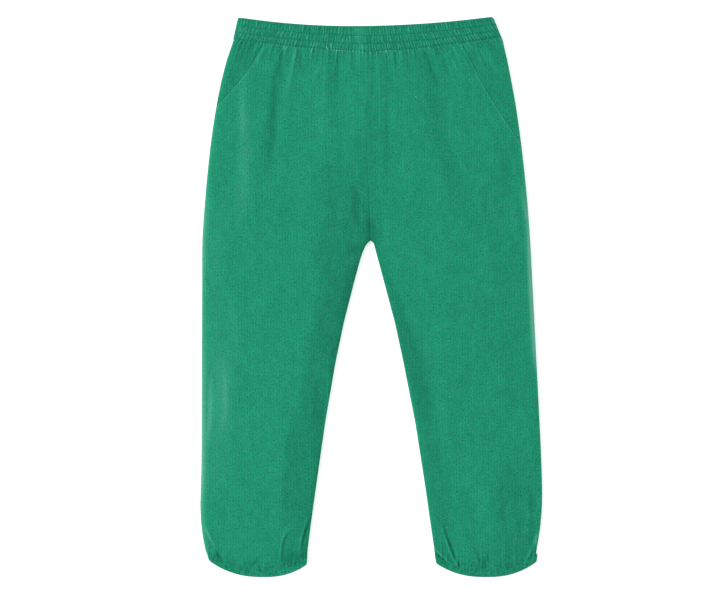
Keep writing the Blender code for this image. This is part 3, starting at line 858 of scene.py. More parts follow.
@dataclass(frozen=True)
class Corduroy(Finish):
    """Needlecord: upright pile in fine ribs, dyed green, paler where it is rubbed and where light is painted,
    darker where shade is painted.

    Attributes:
        pile: Colour of the pile.
        ground: Colour between the ribs and in the depth of the pile.
        bluish: Colour of the tufts that took the dye differently.
        worn_and_lit: Colour of rubbed edges, and of painted highlights on crests and rims.
        brighten: How much brighter the pile is painted at a tone of 1, before it takes the colour of rubbed
            and lit pile.
        rib_pitch: Distance between two ribs.
        speckle: Size of the pile's tufts.
        sheen: Weight of the soft sheen of the pile's ends.
        relief: Depth of the ribs and tufts.
        shade: Brightness compared with the panels' cloth.
        rib_wander: How far the ribs swing from even lines.
        rib_depth: How much the ribs part the colours, for each unit of the patches.
        tuft_contrast: How sharply tufts part the colours of the pile and the ground.
        fullness: Share of the pile's colour at a middling tuft.
        bluish_from: Level of the dye's noise above which tufts turn bluish.
        bluish_gain: How fast they turn bluish above it.
        bluish_most: Largest share of the bluish colour.
        patchiness: Spread of brightness between patches of dye.
        drift_spread: Spread of brightness over wider stretches.
        darken: How much darker the pile is painted at a tone of -1, as painted shade.
        lit_and_worn_most: Largest share of the colour of rubbed and lit pile.
    """

    pile: Colour = (0.0080, 0.3900, 0.1910)
    ground: Colour = (0.0020, 0.1500, 0.0720)
    bluish: Colour = (0.0395, 0.2930, 0.2130)
    worn_and_lit: Colour = (0.1450, 0.4750, 0.3380)
    brighten: float = 0.26
    rib_pitch: float = 2.38
    speckle: float = 0.95
    sheen: float = 0.22
    relief: float = 0.22
    shade: float = 1.0
    rib_wander: float = 4.0
    rib_depth: float = 0.42
    tuft_contrast: float = 2.5
    fullness: float = 0.63
    bluish_from: float = 0.40
    bluish_gain: float = 3.2
    bluish_most: float = 0.9
    patchiness: float = 0.38
    drift_spread: float = 0.22
    darken: float = 0.55
    lit_and_worn_most: float = 0.85

    def material(self) -> bpy.types.Material:
        """Build the cloth: ribs along the cloth's length, tufts, patches of dye, and the tone's painted light
        and shade with rubbed pile.

        Returns:
            The material, which reads the cloth map and the tone of each piece.
        """
        material, nodes = self.nodes()
        cloth = nodes.tree.nodes.new("ShaderNodeUVMap")
        cloth.uv_map = CLOTH_MAP
        place = cloth.outputs[0]
        across = nodes.tree.nodes.new("ShaderNodeSeparateXYZ")
        nodes.put(across.inputs[0], place)

        wander = nodes.noise(nodes.stretched(place, (1.0, 0.25, 1.0), (0.0, 0.0, 0.0)), 160.0, 1.0)
        turn = nodes.math("MULTIPLY_ADD", across.outputs[0], math.tau / (self.rib_pitch * MM),
                          nodes.math("MULTIPLY", wander, self.rib_wander))
        rib = nodes.math("MULTIPLY_ADD", nodes.math("SINE", turn), 0.5, 0.5)

        tall = nodes.stretched(place, (1.0, 0.66, 1.0), (3.1, 1.7, 0.0))
        tufts = nodes.noise(tall, 1.0 / (self.speckle * MM), 2.0)
        dyed = nodes.noise(nodes.stretched(place, (1.0, 0.66, 1.0), (7.7, 4.2, 0.0)), 1050.0, 2.0)
        patches = nodes.noise(nodes.stretched(place, (1.0, 0.52, 1.0), (5.5, 2.9, 0.0)), 210.0, 2.0)
        drift = nodes.noise(nodes.stretched(place, (1.0, 0.4, 1.0), (1.3, 8.8, 0.0)), 72.0, 2.0)

        depth = nodes.math("SUBTRACT", tufts, 0.5)
        depth = nodes.math("MULTIPLY_ADD", depth, self.tuft_contrast, self.fullness)
        strength = nodes.math("MULTIPLY", patches, self.rib_depth)
        depth = nodes.math("MULTIPLY_ADD", nodes.math("SUBTRACT", rib, 0.5), strength, depth)
        colour = nodes.mix(depth, self.ground, self.pile)
        hue = nodes.math("MULTIPLY", nodes.math("SUBTRACT", dyed, self.bluish_from), self.bluish_gain)
        hue = nodes.math("MINIMUM", nodes.math("MAXIMUM", hue, 0.0), self.bluish_most)
        colour = nodes.mix(hue, colour, self.bluish)

        # The tone attribute carries painted light above 0 and painted shade below 0, with rubbed pile along
        # some edges
        tone = nodes.tree.nodes.new("ShaderNodeAttribute")
        tone.attribute_name = TONE
        level = tone.outputs["Fac"]
        uneven = nodes.math("MULTIPLY_ADD", nodes.math("SUBTRACT", patches, 0.5), self.patchiness, self.shade)
        uneven = nodes.math("MULTIPLY_ADD", nodes.math("SUBTRACT", drift, 0.5), self.drift_spread, uneven)
        # Painted shade: darker where the tone is below 0
        uneven = nodes.math("MULTIPLY_ADD", nodes.math("MINIMUM", level, 0.0), self.darken, uneven)
        pale = nodes.math("MAXIMUM", level, 0.0)
        # Painted light: brighter where the tone is above 0
        uneven = nodes.math("MULTIPLY_ADD", nodes.math("MINIMUM", pale, 0.5), self.brighten, uneven)
        colour = nodes.scaled(colour, uneven)
        # Painted highlight and rubbed pile: the pale colour mixed in where the tone is high
        wear_and_highlight = nodes.math("MULTIPLY", nodes.math("MULTIPLY", pale, pale),
                          nodes.math("MULTIPLY_ADD", tufts, 0.9, 0.2))
        colour = nodes.mix(nodes.math("MINIMUM", wear_and_highlight, self.lit_and_worn_most), colour, self.worn_and_lit)

        bump = nodes.tree.nodes.new("ShaderNodeBump")
        bump.inputs["Strength"].default_value = 0.6
        bump.inputs["Distance"].default_value = self.relief * MM
        nodes.put(bump.inputs["Height"], nodes.math("MULTIPLY_ADD", rib, 0.3, tufts))

        nodes.put(nodes.shader.inputs["Base Color"], colour)
        nodes.put(nodes.shader.inputs["Normal"], bump.outputs[0])
        nodes.shader.inputs["Roughness"].default_value = 0.9
        nodes.shader.inputs["Specular IOR Level"].default_value = 0.04
        nodes.shader.inputs["Sheen Weight"].default_value = self.sheen
        nodes.shader.inputs["Sheen Roughness"].default_value = 0.35
        nodes.shader.inputs["Sheen Tint"].default_value = (0.40, 1.0, 0.77, 1.0)
        return material


@dataclass(frozen=True)
class Thread(Finish):
    """Sewing thread with a fine twist.

    Attributes:
        light: Colour of the strands.
        dark: Colour between the strands.
    """

    light: Colour
    dark: Colour

    def material(self) -> bpy.types.Material:
        """Build the thread: strands that a fine noise parts, a little fuzz, no gloss.

        Returns:
            The material.
        """
        material, nodes = self.nodes()
        place = nodes.tree.nodes.new("ShaderNodeTexCoord").outputs["Object"]
        strands = nodes.noise(place, 3200.0, 2.0)
        nodes.put(nodes.shader.inputs["Base Color"], nodes.mix(strands, self.dark, self.light))
        bump = nodes.tree.nodes.new("ShaderNodeBump")
        bump.inputs["Strength"].default_value = 0.4
        bump.inputs["Distance"].default_value = 0.05 * MM
        nodes.put(bump.inputs["Height"], strands)
        nodes.put(nodes.shader.inputs["Normal"], bump.outputs[0])
        nodes.shader.inputs["Roughness"].default_value = 0.75
        nodes.shader.inputs["Specular IOR Level"].default_value = 0.15
        return material


@dataclass(frozen=True)
class ClothGrid:
    """Cloth surface on a grid of rows and columns.

    Attributes:
        points: Places of the points, rows by columns by 3.
        cloth: Places on the flat cloth, with one more row or column where the grid closes.
        tone: Above 0 where light is painted and the cloth is rubbed paler, below 0 where shade is painted.
        round_rows: Whether the last row joins the first.
        round_columns: Whether the last column joins the first.
        flipped: Whether the faces turn the other way round.
    """

    points: Array
    cloth: Array
    tone: Array
    round_rows: bool = False
    round_columns: bool = False
    flipped: bool = False

    def quads(self, field: Array) -> Array:
        """Values of a field at the four corners of each face.

        Args:
            field: Values at the points, rows by columns.

        Returns:
            Values at the corners, faces by 4.
        """
        corners = (field[:-1, :-1], field[:-1, 1:], field[1:, 1:], field[1:, :-1])
        stacked = np.stack(corners, axis=2).reshape((-1, 4) + field.shape[2:])
        return stacked[:, ::-1] if self.flipped else stacked

    def object(self, name: str, finish: bpy.types.Material) -> bpy.types.Object:
        """Make the grid a mesh object with its cloth map, tone and finish.

        Args:
            name: Name of the piece.
            finish: Material of the piece.

        Returns:
            The object, at the origin, in metres.
        """
        rows, columns = self.tone.shape
        index = np.arange(rows * columns).reshape(rows, columns)
        if self.round_rows:
            index = np.vstack((index, index[:1]))
        if self.round_columns:
            index = np.hstack((index, index[:, :1]))
        mesh = bpy.data.meshes.new(name)
        places = (self.points.reshape(-1, 3) * MM).tolist()
        mesh.from_pydata(places, [], self.quads(index).tolist())
        cloth_map = mesh.uv_layers.new(name=CLOTH_MAP)
        cloth_map.uv.foreach_set("vector", (self.quads(self.cloth) * MM).astype(np.float32).ravel())
        tone = mesh.attributes.new(TONE, "FLOAT", "POINT")
        tone.data.foreach_set("value", self.tone.astype(np.float32).ravel())
        mesh.materials.append(finish)
        mesh.shade_smooth()
        if not (self.round_rows or self.round_columns):
            self.sharpen_rim(mesh)
        return linked(name, mesh)

    def sharpen_rim(self, mesh: bpy.types.Mesh) -> None:
        """Mark the edges along the grid's rim as sharp, so that its faces keep their shading.

        Args:
            mesh: Mesh made from the grid.
        """
        rows, columns = self.tone.shape
        ends = np.zeros(2 * len(mesh.edges), dtype=np.int32)
        mesh.edges.foreach_get("vertices", ends)
        row, column = np.divmod(ends.reshape(-1, 2), columns)
        same_row = (row[:, 0] == row[:, 1]) & np.isin(row[:, 0], (0, rows - 1))
        same_column = (column[:, 0] == column[:, 1]) & np.isin(column[:, 0], (0, columns - 1))
        sharp = mesh.attributes.new("sharp_edge", "BOOLEAN", "EDGE")
        sharp.data.foreach_set("value", same_row | same_column)


def linked(name: str, mesh: bpy.types.Mesh) -> bpy.types.Object:
    """Object for a mesh, linked to the scene.

    Args:
        name: Name of the piece.
        mesh: Mesh of the piece.

    Returns:
        The new object.
    """
    piece = bpy.data.objects.new(name, mesh)
    bpy.context.scene.collection.objects.link(piece)
    return piece


def given_wall(piece: bpy.types.Object, wall: float) -> bpy.types.Object:
    """Give an open cloth surface its thickness, inwards from its outer face.

    Args:
        piece: Object with the outer face.
        wall: Thickness of the cloth.

    Returns:
        The same object, with its wall.
    """
    solid = piece.modifiers.new("cloth wall", "SOLIDIFY")
    solid.thickness = wall * MM
    solid.offset = -1.0
    solid.use_even_offset = False
    solid.use_quality_normals = True
    return piece


def rods(starts: Array, ends: Array, radius: float, arch: float, name: str,
         finish: bpy.types.Material) -> bpy.types.Object:
    """Make stitches or fibres as short rounded rods joined in one mesh.

    A rod's centre runs straight from start to end and arches up by a parabola between them. Its
    radius follows the square root of one minus the fourth power of the distance from its middle.

    Args:
        starts: First end of each rod, rods by 3.
        ends: Other end of each rod, rods by 3.
        radius: Radius at the middle.
        arch: Rise of the middle over the ends.
        name: Name of the piece.
        finish: Material of the piece.

    Returns:
        The object, at the origin, in metres.
    """
    rings, sides = 6, 6
    t = np.linspace(0.0, 1.0, rings)[None, :, None]
    centre = starts[:, None] + (ends - starts)[:, None] * t
    centre = centre + np.array([0.0, 0.0, 1.0]) * (4.0 * arch * t * (1.0 - t))
    along = (ends - starts) / np.linalg.norm(ends - starts, axis=1, keepdims=True)
    beside = np.cross(along, (0.0, 0.0, 1.0))
    beside /= np.linalg.norm(beside, axis=1, keepdims=True)
    above = np.cross(beside, along)
    size = radius * np.sqrt(np.maximum(1.0 - (2.0 * t - 1.0) ** 4, 0.12))
    angle = math.tau * np.arange(sides) / sides
    around = (beside[:, None, None] * np.cos(angle)[None, None, :, None]
              + above[:, None, None] * np.sin(angle)[None, None, :, None])
    points = centre[:, :, None] + around * size[..., None]
    ring = np.arange(rings * sides).reshape(rings, sides)
    after = np.roll(ring, -1, axis=1)
    walls = np.stack((ring[:-1], after[:-1], after[1:], ring[1:]), axis=-1).reshape(-1, 4)
    shifts = np.arange(len(starts))[:, None, None] * (rings * sides)
    faces = (walls[None] + shifts).reshape(-1, 4).tolist()
    caps = np.stack((ring[0, ::-1], ring[-1]))
    faces += (caps[None] + shifts).reshape(-1, sides).tolist()
    mesh = bpy.data.meshes.new(name)
    mesh.from_pydata((points.reshape(-1, 3) * MM).tolist(), [], faces)
    mesh.materials.append(finish)
    mesh.shade_smooth()
    return linked(name, mesh)


@dataclass(frozen=True)
class Wardrobe:
    """The finishes of the trousers, made once and shared by their pieces."""

    cloth: bpy.types.Material
    band: bpy.types.Material
    hem: bpy.types.Material
    green: bpy.types.Material
    white: bpy.types.Material

    @classmethod
    def make(cls) -> Wardrobe:
        """Make every finish.

        Returns:
            The wardrobe.
        """
        return cls(
            Corduroy("corduroy", "corduroy").material(),
            Corduroy("band_corduroy", "band_corduroy", shade=0.95).material(),
            Corduroy("hem_corduroy", "hem_corduroy", shade=0.97).material(),
            Thread("green_thread", "green_thread", (0.012, 0.150, 0.095), (0.005, 0.085, 0.055)).material(),
            Thread("white_thread", "white_thread", (0.34, 0.78, 0.63), (0.22, 0.58, 0.46)).material(),
        )


@dataclass(frozen=True)
class Relief:
    """Heights of the cloth over the surface that the trousers rest on, and its tones of painted light and
    shade.

    Attributes:
        channels: Gathers of the waistband's channels, from the top.
        long_puckers: Gathers that run far down from the waistband.
        hem_gathers: Gathers of each hem casing.
        long_hem_puckers: Gathers that run far up from each hem casing.
        seam_dip: Depth of the centre seam's groove.
        seam_dip_width: Half width of that groove.
        joint_dip: Depth to which the panels dip where they are joined to a band.
        joint_dip_width: Reach of that dip.
        undulation: Waves of the cloth, each with its width, its length and its height.
        trough_tone: How strongly broad folds show as painted shade in their troughs and painted highlight on
            their crests.
        crease_tone: How strongly fine folds show on the panels as painted highlight and painted shade.
        casing_crease_tone: How strongly fine folds show on a hem casing as painted highlight and painted
            shade.
        long_tone: How strongly the long gathers show as painted highlight and painted shade.
        pucker_tone: How strongly the fine gathers below the waistband show as painted highlight and painted
            shade.
        hem_pucker_tone: How strongly the fine gathers at the hems show as painted highlight and painted
            shade.
        crinkle_tone: How strongly the crepe at the hems shows as painted highlight and painted shade.
        crinkle_height: Height of the crepe at the hems.
        crinkle_reach: How far the crepe reaches up from a casing.
        rim_width: Width of the painted highlight along the side seams.
        below_band: Tone just below the waistband, and its reach.
        hem_shade: Depth of the painted shade at a hem casing.
        hem_shade_reach: How far that painted shade reaches above the casing.
        side_light: Painted light gained for each millimetre to the right, which faces the light, and painted
            shade for each one to the left.
    """

    channels: tuple[Gathers, ...]
    long_puckers: Gathers
    hem_gathers: dict[Side, Gathers]
    long_hem_puckers: dict[Side, Gathers]
    seam_dip: float = 0.16
    seam_dip_width: float = 0.5
    joint_dip: float = 0.05
    joint_dip_width: float = 0.5
    undulation: tuple[tuple[float, float, float], ...] = ((12.0, 34.0, 0.22), (5.0, 12.0, 0.08))
    trough_tone: float = 0.04
    crease_tone: float = 0.75
    casing_crease_tone: float = 0.3
    long_tone: float = 0.45
    pucker_tone: float = 1.7
    hem_pucker_tone: float = 0.8
    crinkle_tone: float = 0.95
    crinkle_height: float = 0.23
    crinkle_reach: float = 5.5
    rim_width: float = 3.3
    below_band: tuple[float, float] = (0.10, 7.0)
    hem_shade: float = 0.14
    hem_shade_reach: float = 8.0
    side_light: tuple[float, float] = (0.0003, 0.0008)

    @classmethod
    def make(cls) -> Relief:
        """Lay out the gathers of the waistband's channels and of the two hems.

        Returns:
            The relief, in its standard sizes.
        """
        right, left = HEM_SPANS[Side.RIGHT], HEM_SPANS[Side.LEFT]
        return cls(
            channels=(
                Gathers.spread(BAND_SPAN, 2.2, 0.42, 0.3, seed=11),
                Gathers.spread(BAND_SPAN, 2.1, 0.48, 2.0, seed=12),
                Gathers.spread(BAND_SPAN, 2.1, 0.48, 1.6, seed=13),
            ),
            long_puckers=Gathers.spread(BAND_SPAN, 5.2, 0.95, 3.0, seed=15, sharpness=6.0),
            hem_gathers={
                Side.RIGHT: Gathers.spread(right, 2.3, 0.27, 1.5, seed=23),
                Side.LEFT: Gathers.spread(left, 2.3, 0.27, 1.5, seed=29),
            },
            long_hem_puckers={
                Side.RIGHT: Gathers.spread(right, 5.2, 0.75, 0.0, seed=37, sharpness=6.0),
                Side.LEFT: Gathers.spread(left, 5.2, 0.90, 0.0, seed=41, sharpness=6.0),
            },
        )

    @staticmethod
    def strokes(rows: tuple[Stroke, ...], side: Side, x: Array, y: Array) -> Array:
        """Sum of strokes of one side: bell curves across their paths, fading to their ends.

        Args:
            rows: Table of folds or of tones.
            side: Side of the trousers.
            x: Places along x.
            y: Places along y.

        Returns:
            What the strokes add at each place.
        """
        total = np.zeros(np.shape(x))
        t = np.linspace(0.0, 1.0, STROKE_STEPS)
        first, second, third = (1 - t) * (1 - 2 * t), 4 * t * (1 - t), t * (2 * t - 1)
        for row in rows:
            if row.side is not side:
                continue
            xs = first * row.x0 + second * row.x1 + third * row.x2
            ys = first * row.y0 + second * row.y1 + third * row.y2
            away, share = along_path(x, y, list(zip(xs, ys)))
            strength = np.interp(share, (0.0, 0.35, 0.65, 1.0), (row.first, 1.0, 1.0, row.last))
            total = total + row.height * strength * np.exp(-(away / row.half_width) ** 2)
        return total

    def puckers(self, x: Array, y: Array) -> tuple[Array, Array]:
        """Gathers that run on from the waistband into the panels and die out.

        Args:
            x: Places along x.
            y: Places along y.

        Returns:
            Heights that the fine gathers and the long ones add.
        """
        away = np.maximum(band_low_edge(x) - y, 0.0)
        start, end = BAND_LOW_ENDS
        last = np.full(np.shape(x), 2.0)
        still = 1.0 - 0.6 * np.exp(-((x - BAND_JOIN_X) / 5.0) ** 2)
        heights = []
        for gathers, lean, rise in ((self.channels[-1], 1.0, 0.0), (self.long_puckers, 0.35, 2.0)):
            upright = x - lean * (x - BAND_JOIN_X) / end * away
            place = (upright - start) / (end - start) * BAND_SPAN
            ridges = gathers.ridges(place, last, away / 1.7) - gathers.mean(away / 1.7)
            heights.append(still * ridges * (fade(away, 0.0, rise) if rise else 1.0))
        return heights[0], heights[1]

    def hem_puckers(self, side: Side, x: Array, y: Array) -> tuple[Array, Array]:
        """Fine and long gathers that run up from a hem casing into the panel and die out.

        Args:
            side: Side of the trousers.
            x: Places along x.
            y: Places along y.

        Returns:
            Heights that the fine gathers and the long ones add.
        """
        away = np.maximum(y - hem_curve(x, CASING_TOPS[side]), 0.0)
        line = np.zeros(np.shape(x))
        heights = []
        for gathers, rise in ((self.hem_gathers[side], 0.0), (self.long_hem_puckers[side], 2.0)):
            ridges = gathers.ridges(self.hem_place(side, x), line, away) - gathers.mean(away)
            heights.append(ridges * (fade(away, 0.0, rise) if rise else 1.0))
        return heights[0], heights[1]

    def crinkle(self, x: Array, y: Array, away: Array | float = 0.0) -> Array:
        """Fine crepe of the cloth that a hem elastic shrinks.

        Args:
            x: Places along x.
            y: Places along y.
            away: Distance above the casing.

        Returns:
            Heights: two value noises, one turned, that die out by a bell curve above the casing.
        """
        fine = value_noise(x / 1.8, y / 1.5, 71)
        turned = value_noise((x + 0.6 * y) / 3.0, (y - 0.6 * x) / 1.6, 72)
        reach = self.crinkle_reach * (1.0 + 0.5 * value_noise(x / 9.0, y / 9.0, 73))
        return self.crinkle_height * (fine + 0.9 * turned) * np.exp(-(away / reach) ** 2)

    @staticmethod
    def hem_place(side: Side, x: Array) -> Array:
        """Place along a hem, from its lower x to its higher x."""
        edge = CASING_TOPS[side]
        return x - min(edge.inner_x, edge.outer_x)

    def edge_lift(self, side: Side, x: Array, y: Array) -> Array:
        """Share of the crown that is left where the panel rounds away to its edges.

        Args:
            side: Side of the trousers.
            x: Places along x.
            y: Places along y.

        Returns:
            Share of the crown, between 0 and 1.
        """
        levels = np.linspace(SIDES[0].y, SIDES[-1].y - 12.0, 60)
        from_side, _ = along_path(x, y, list(zip(side_x(side, levels), levels)))
        levels = np.array([row.y for row in INNER_LEGS])
        inner = straight(INNER_LEGS, levels, side.value + "_inner")
        from_inner, _ = along_path(x, y, list(zip(inner, levels)))
        side_round = straight(CROWNS, y, side.value + "_round")
        return rounding(from_side, side_round) * rounding(from_inner, straight(CROWNS, y, "inner_round"))

    def crown(self, side: Side, x: Array, y: Array) -> Array:
        """Height of the cloth away from the side seam and the inner leg.

        Args:
            side: Side of the trousers.
            x: Places along x.
            y: Places along y.

        Returns:
            The table's crown with the folds, a slight undulation, the centre seam and the gathers.
        """
        crown = curved(CROWNS, y, "crown") + self.strokes(BROAD_FOLDS + FINE_FOLDS, side, x, y)
        for number, (wide, tall, height) in enumerate(self.undulation):
            crown = crown + height * value_noise(x / wide, y / tall, 40 + number)
        off = (x - seam_x(y)) / self.seam_dip_width
        crown = crown - self.seam_dip * np.exp(-off ** 2) * (y > CROTCH_Y)
        crown = np.maximum(crown, LOWEST_CLOTH)
        away = np.maximum(y - hem_curve(x, CASING_TOPS[side]), 0.0)
        return crown + sum(self.puckers(x, y)) + sum(self.hem_puckers(side, x, y)) + self.crinkle(x, y, away)

    def front(self, side: Side, x: Array, y: Array) -> Array:
        """Height of a front's outer face.

        The crown rounds away to the side seam and to the inner leg by quarter ellipses, and dips a
        little into the seams of the waistband and of the hem casing.

        Args:
            side: Side of the trousers.
            x: Places along x.
            y: Places along y.

        Returns:
            Heights.
        """
        from_band = np.maximum(band_low_edge(x) - y, 0.0) / self.joint_dip_width
        from_hem = np.maximum(y - hem_curve(x, CASING_TOPS[side]), 0.0) / self.joint_dip_width
        dips = self.joint_dip * (np.exp(-from_band ** 2) + 0.5 * np.exp(-from_hem ** 2))
        shoulder = FRONT_FOOT + EDGE_STEP
        return shoulder + (self.crown(side, x, y) - dips - shoulder) * self.edge_lift(side, x, y)

    def front_slopes(self, side: Side, x: Array, y: Array) -> tuple[Array, Array]:
        """Slopes of a front's outer face along x and y, from central differences.

        Args:
            side: Side of the trousers.
            x: Places along x.
            y: Places along y.

        Returns:
            Slope along x, and slope along y.
        """
        near = 0.05
        slope_x = self.front(side, x + near, y) - self.front(side, x - near, y)
        slope_y = self.front(side, x, y + near) - self.front(side, x, y - near)
        return slope_x / (2 * near), slope_y / (2 * near)

    def joint(self, x: Array, edge_y: Array) -> Array:
        """Height at which the panels on both sides of the centre seam reach the waistband.

        Args:
            x: Places along x.
            edge_y: Levels of the waistband's edge there.

        Returns:
            Heights of the joint.
        """
        right = self.crown(Side.RIGHT, x, edge_y)
        left = self.crown(Side.LEFT, x, edge_y)
        return np.where(x < seam_x(edge_y), right, left) - self.joint_dip

    def tone(self, side: Side, x: Array, y: Array) -> Array:
        """Tone of painted light and shade that folds, gathers, edges and inner legs give the cloth, partly
        the nap of the pile.

        Args:
            side: Side of the trousers.
            x: Places along x.
            y: Places along y.

        Returns:
            Above 0 where light is painted, below 0 where shade is painted.
        """
        # Painted shade in the troughs of broad folds, a little painted highlight on their crests
        folded = self.trough_tone * np.minimum(self.strokes(BROAD_FOLDS, side, x, y), 0.4)
        fine, long = self.puckers(x, y)
        hem_fine, hem_long = self.hem_puckers(side, x, y)
        # Painted highlight on the crests and painted shade in the valleys of creases, gathers and crepe
        creased = self.crease_tone * self.strokes(FINE_FOLDS, side, x, y) + self.long_tone * (long + hem_long)
        creased = creased + self.pucker_tone * fine + self.hem_pucker_tone * hem_fine
        away = np.maximum(y - hem_curve(x, CASING_TOPS[side]), 0.0)
        creased = creased + self.crinkle_tone * self.crinkle(x, y, away)
        # Painted shade above the hem casing
        hem_painted_shade = self.hem_shade * np.exp(-(away / self.hem_shade_reach) ** 2)
        from_side = np.abs(side_x(side, y) - x)
        # Painted highlight along the side seams
        rim = straight(RIM_HIGHLIGHTS, y, side.value) * np.exp(-(from_side / self.rim_width) ** 2)
        amount, reach = self.below_band
        joined = amount * np.exp(-((band_low_edge(x) - y) / reach) ** 2)
        # Painted light and shade of the tone strokes and the inner legs, and painted light towards the lit
        # side
        shades = self.strokes(LIGHT_AND_PILE_TONES, side, x, y) + self.inner_shade(side, x, y) + self.side_light_tone(x)
        return shades + folded + creased + rim + joined - hem_painted_shade

    def side_light_tone(self, x: Array) -> Array:
        """Painted light, a little paler towards the right side, which faces the light, and painted shade
        towards the left one.
        """
        right, left = self.side_light
        return -right * np.minimum(x, 0.0) - left * np.maximum(x, 0.0)

    def inner_shade(self, side: Side, x: Array, y: Array) -> Array:
        """Painted shade beside the inner leg, where the cloth slopes away from the light, with a slightly
        wandering border.

        Args:
            side: Side of the trousers.
            x: Places along x.
            y: Places along y.

        Returns:
            Tone to add, 0 away from the inner leg.
        """
        rows = INNER_PAINTED_SHADES[side]
        shift = 1.0 * value_noise(x / 30.0, y / 9.0, 81) + 0.6 * value_noise(x / 5.0, y / 3.5, 82)
        start, full = straight(rows, y, "start"), straight(rows, y, "full")
        return straight(rows, y, "depth") * fade(x + shift, start, full)


def panel_plan(side: Side, levels: Array, shares: Array, outer: object) -> tuple[Array, Array]:
    """Plan of a panel whose rows bend with the waistband above and the hem casing below.

    Args:
        side: Side of the trousers.
        levels: Level of each row, from the top.
        shares: Place of each column between the inner boundary, 0, and the outer one, 1.
        outer: Function of side and level that gives the outer boundary.

    Returns:
        Places along x and y, rows by columns.
    """
    level = levels[:, None]
    y = np.repeat(level, shares.shape[-1], axis=1)
    top_share = fade(level, TOP_FADE_LEVEL, TOP_LEVEL)
    low_share = fade(level, LOW_FADE_LEVEL, LOW_LEVEL)
    for _ in range(BEND_ROUNDS):
        start = inner_x(side, y)
        x = start + (outer(side, y) - start) * shares
        top = band_low_edge(x) + JOINT_LAP - TOP_LEVEL
        low = hem_curve(x, CASING_TOPS[side]) - JOINT_LAP - LOW_LEVEL
        y = level + top_share * top + low_share * low
    return x, y


@dataclass(frozen=True)
class FrontPanel:
    """Front of one leg and hip, cut away at the slanted pocket opening.

    Attributes:
        side: Side of the trousers.
        middle_columns: Number of even columns between the rounded edges.
        edge_columns: Number of close columns at each rounded edge.
        edge_share: Share of the width that each rounded edge takes.
        opening_fall: Fall of the cloth to the edge of the pocket opening, and its width.
        opening_wear_and_highlight: Tone of the opening's edge, rubbed pale and with painted highlight where
            it folds over, and its width.
        lit_edge_below_band: Distance below the waistband at which that tone sets in, and is full.
        turned_edge_shade: Painted shade on the outermost line, where the cloth turns down into a seam.
        flat: Width and length of the cut, in metres. Not used.
        area: Area of the cut, in square metres. Not used.
    """

    side: Side
    middle_columns: int = 184
    edge_columns: int = 12
    edge_share: float = 0.07
    opening_fall: tuple[float, float] = (0.12, 0.8)
    opening_wear_and_highlight: tuple[float, float] = (0.55, 1.3)
    lit_edge_below_band: tuple[float, float] = (1.0, 12.0)
    turned_edge_shade: float = -0.5
    flat: tuple[float, float] = (0.145, 0.435)
    area: float = 0.0466

    def levels(self) -> Array:
        """Levels of the rows: close at the gathers and the crotch, wider between them.

        Returns:
            Levels, falling.
        """
        levels = stepped((TOP_LEVEL, 190.0, 52.0, 40.0, -196.0, LOW_LEVEL), (0.65, 2.9, 0.9, 3.0, 0.62))
        extra = [CROTCH_Y, CROTCH_Y - 0.02]
        extra += [POCKET_ENDS[self.side] + lift for lift in (-0.02, 0.02)]
        return np.sort(np.concatenate((levels, extra)))[::-1]

    def shares(self) -> Array:
        """Places of the columns: doubled at both edges for the turned-down edge.

        Returns:
            Shares of the width, from the inner edge to the outer one.
        """
        turn = (1.0 - np.cos(np.radians(np.linspace(6.0, 90.0, self.edge_columns)))) * self.edge_share
        middle = np.linspace(turn[-1], 1.0 - turn[-1], self.middle_columns + 1)[1:-1]
        return np.concatenate(([0.0, 0.0], turn, middle, 1.0 - turn[::-1], [1.0, 1.0]))

    def build(self, relief: Relief, wardrobe: Wardrobe) -> bpy.types.Object:
        """Build and dress the panel.

        Args:
            relief: Heights of the cloth.
            wardrobe: Finishes.

        Returns:
            The finished piece.
        """
        x, y = panel_plan(self.side, self.levels(), self.shares()[None, :], front_edge_x)
        z = relief.front(self.side, x, y)
        from_opening = np.abs(x - front_edge_x(self.side, y))
        at_pocket = y > POCKET_ENDS[self.side]
        fall, fall_width = self.opening_fall
        z = z - fall * at_pocket * (1.0 - rounding(from_opening, fall_width))
        # Painted highlight along the folded edge of each pocket opening, with rubbed pile
        wear_and_highlight, lit_edge_width = self.opening_wear_and_highlight
        worn_and_lit = 0.15 + 0.85 * fade(band_low_edge(x) - y, *self.lit_edge_below_band)
        tone = relief.tone(self.side, x, y)
        tone = tone + wear_and_highlight * at_pocket * worn_and_lit * np.exp(-(from_opening / lit_edge_width) ** 2)
        # Painted shade on the outermost lines, where the cloth turns down
        tone[:, -1] = np.where(at_pocket[:, -1], self.turned_edge_shade, tone[:, -1])
        tone[:, 0] = np.where(y[:, 0] > CROTCH_Y, self.turned_edge_shade, tone[:, 0])
        z[:, 0] -= FOOT_DROP
        z[:, -1] -= np.where(at_pocket[:, -1], OPENING_DROP, FOOT_DROP)
        points = np.stack((x, y, z), axis=-1)
        grid = ClothGrid(points, points[..., :2], tone, flipped=self.side is Side.LEFT)
        piece = given_wall(grid.object(f"front_{self.side.value}_cloth", wardrobe.cloth), CLOTH)
        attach(piece, BODY)
        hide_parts(f"front_{self.side.value}")
        return piece


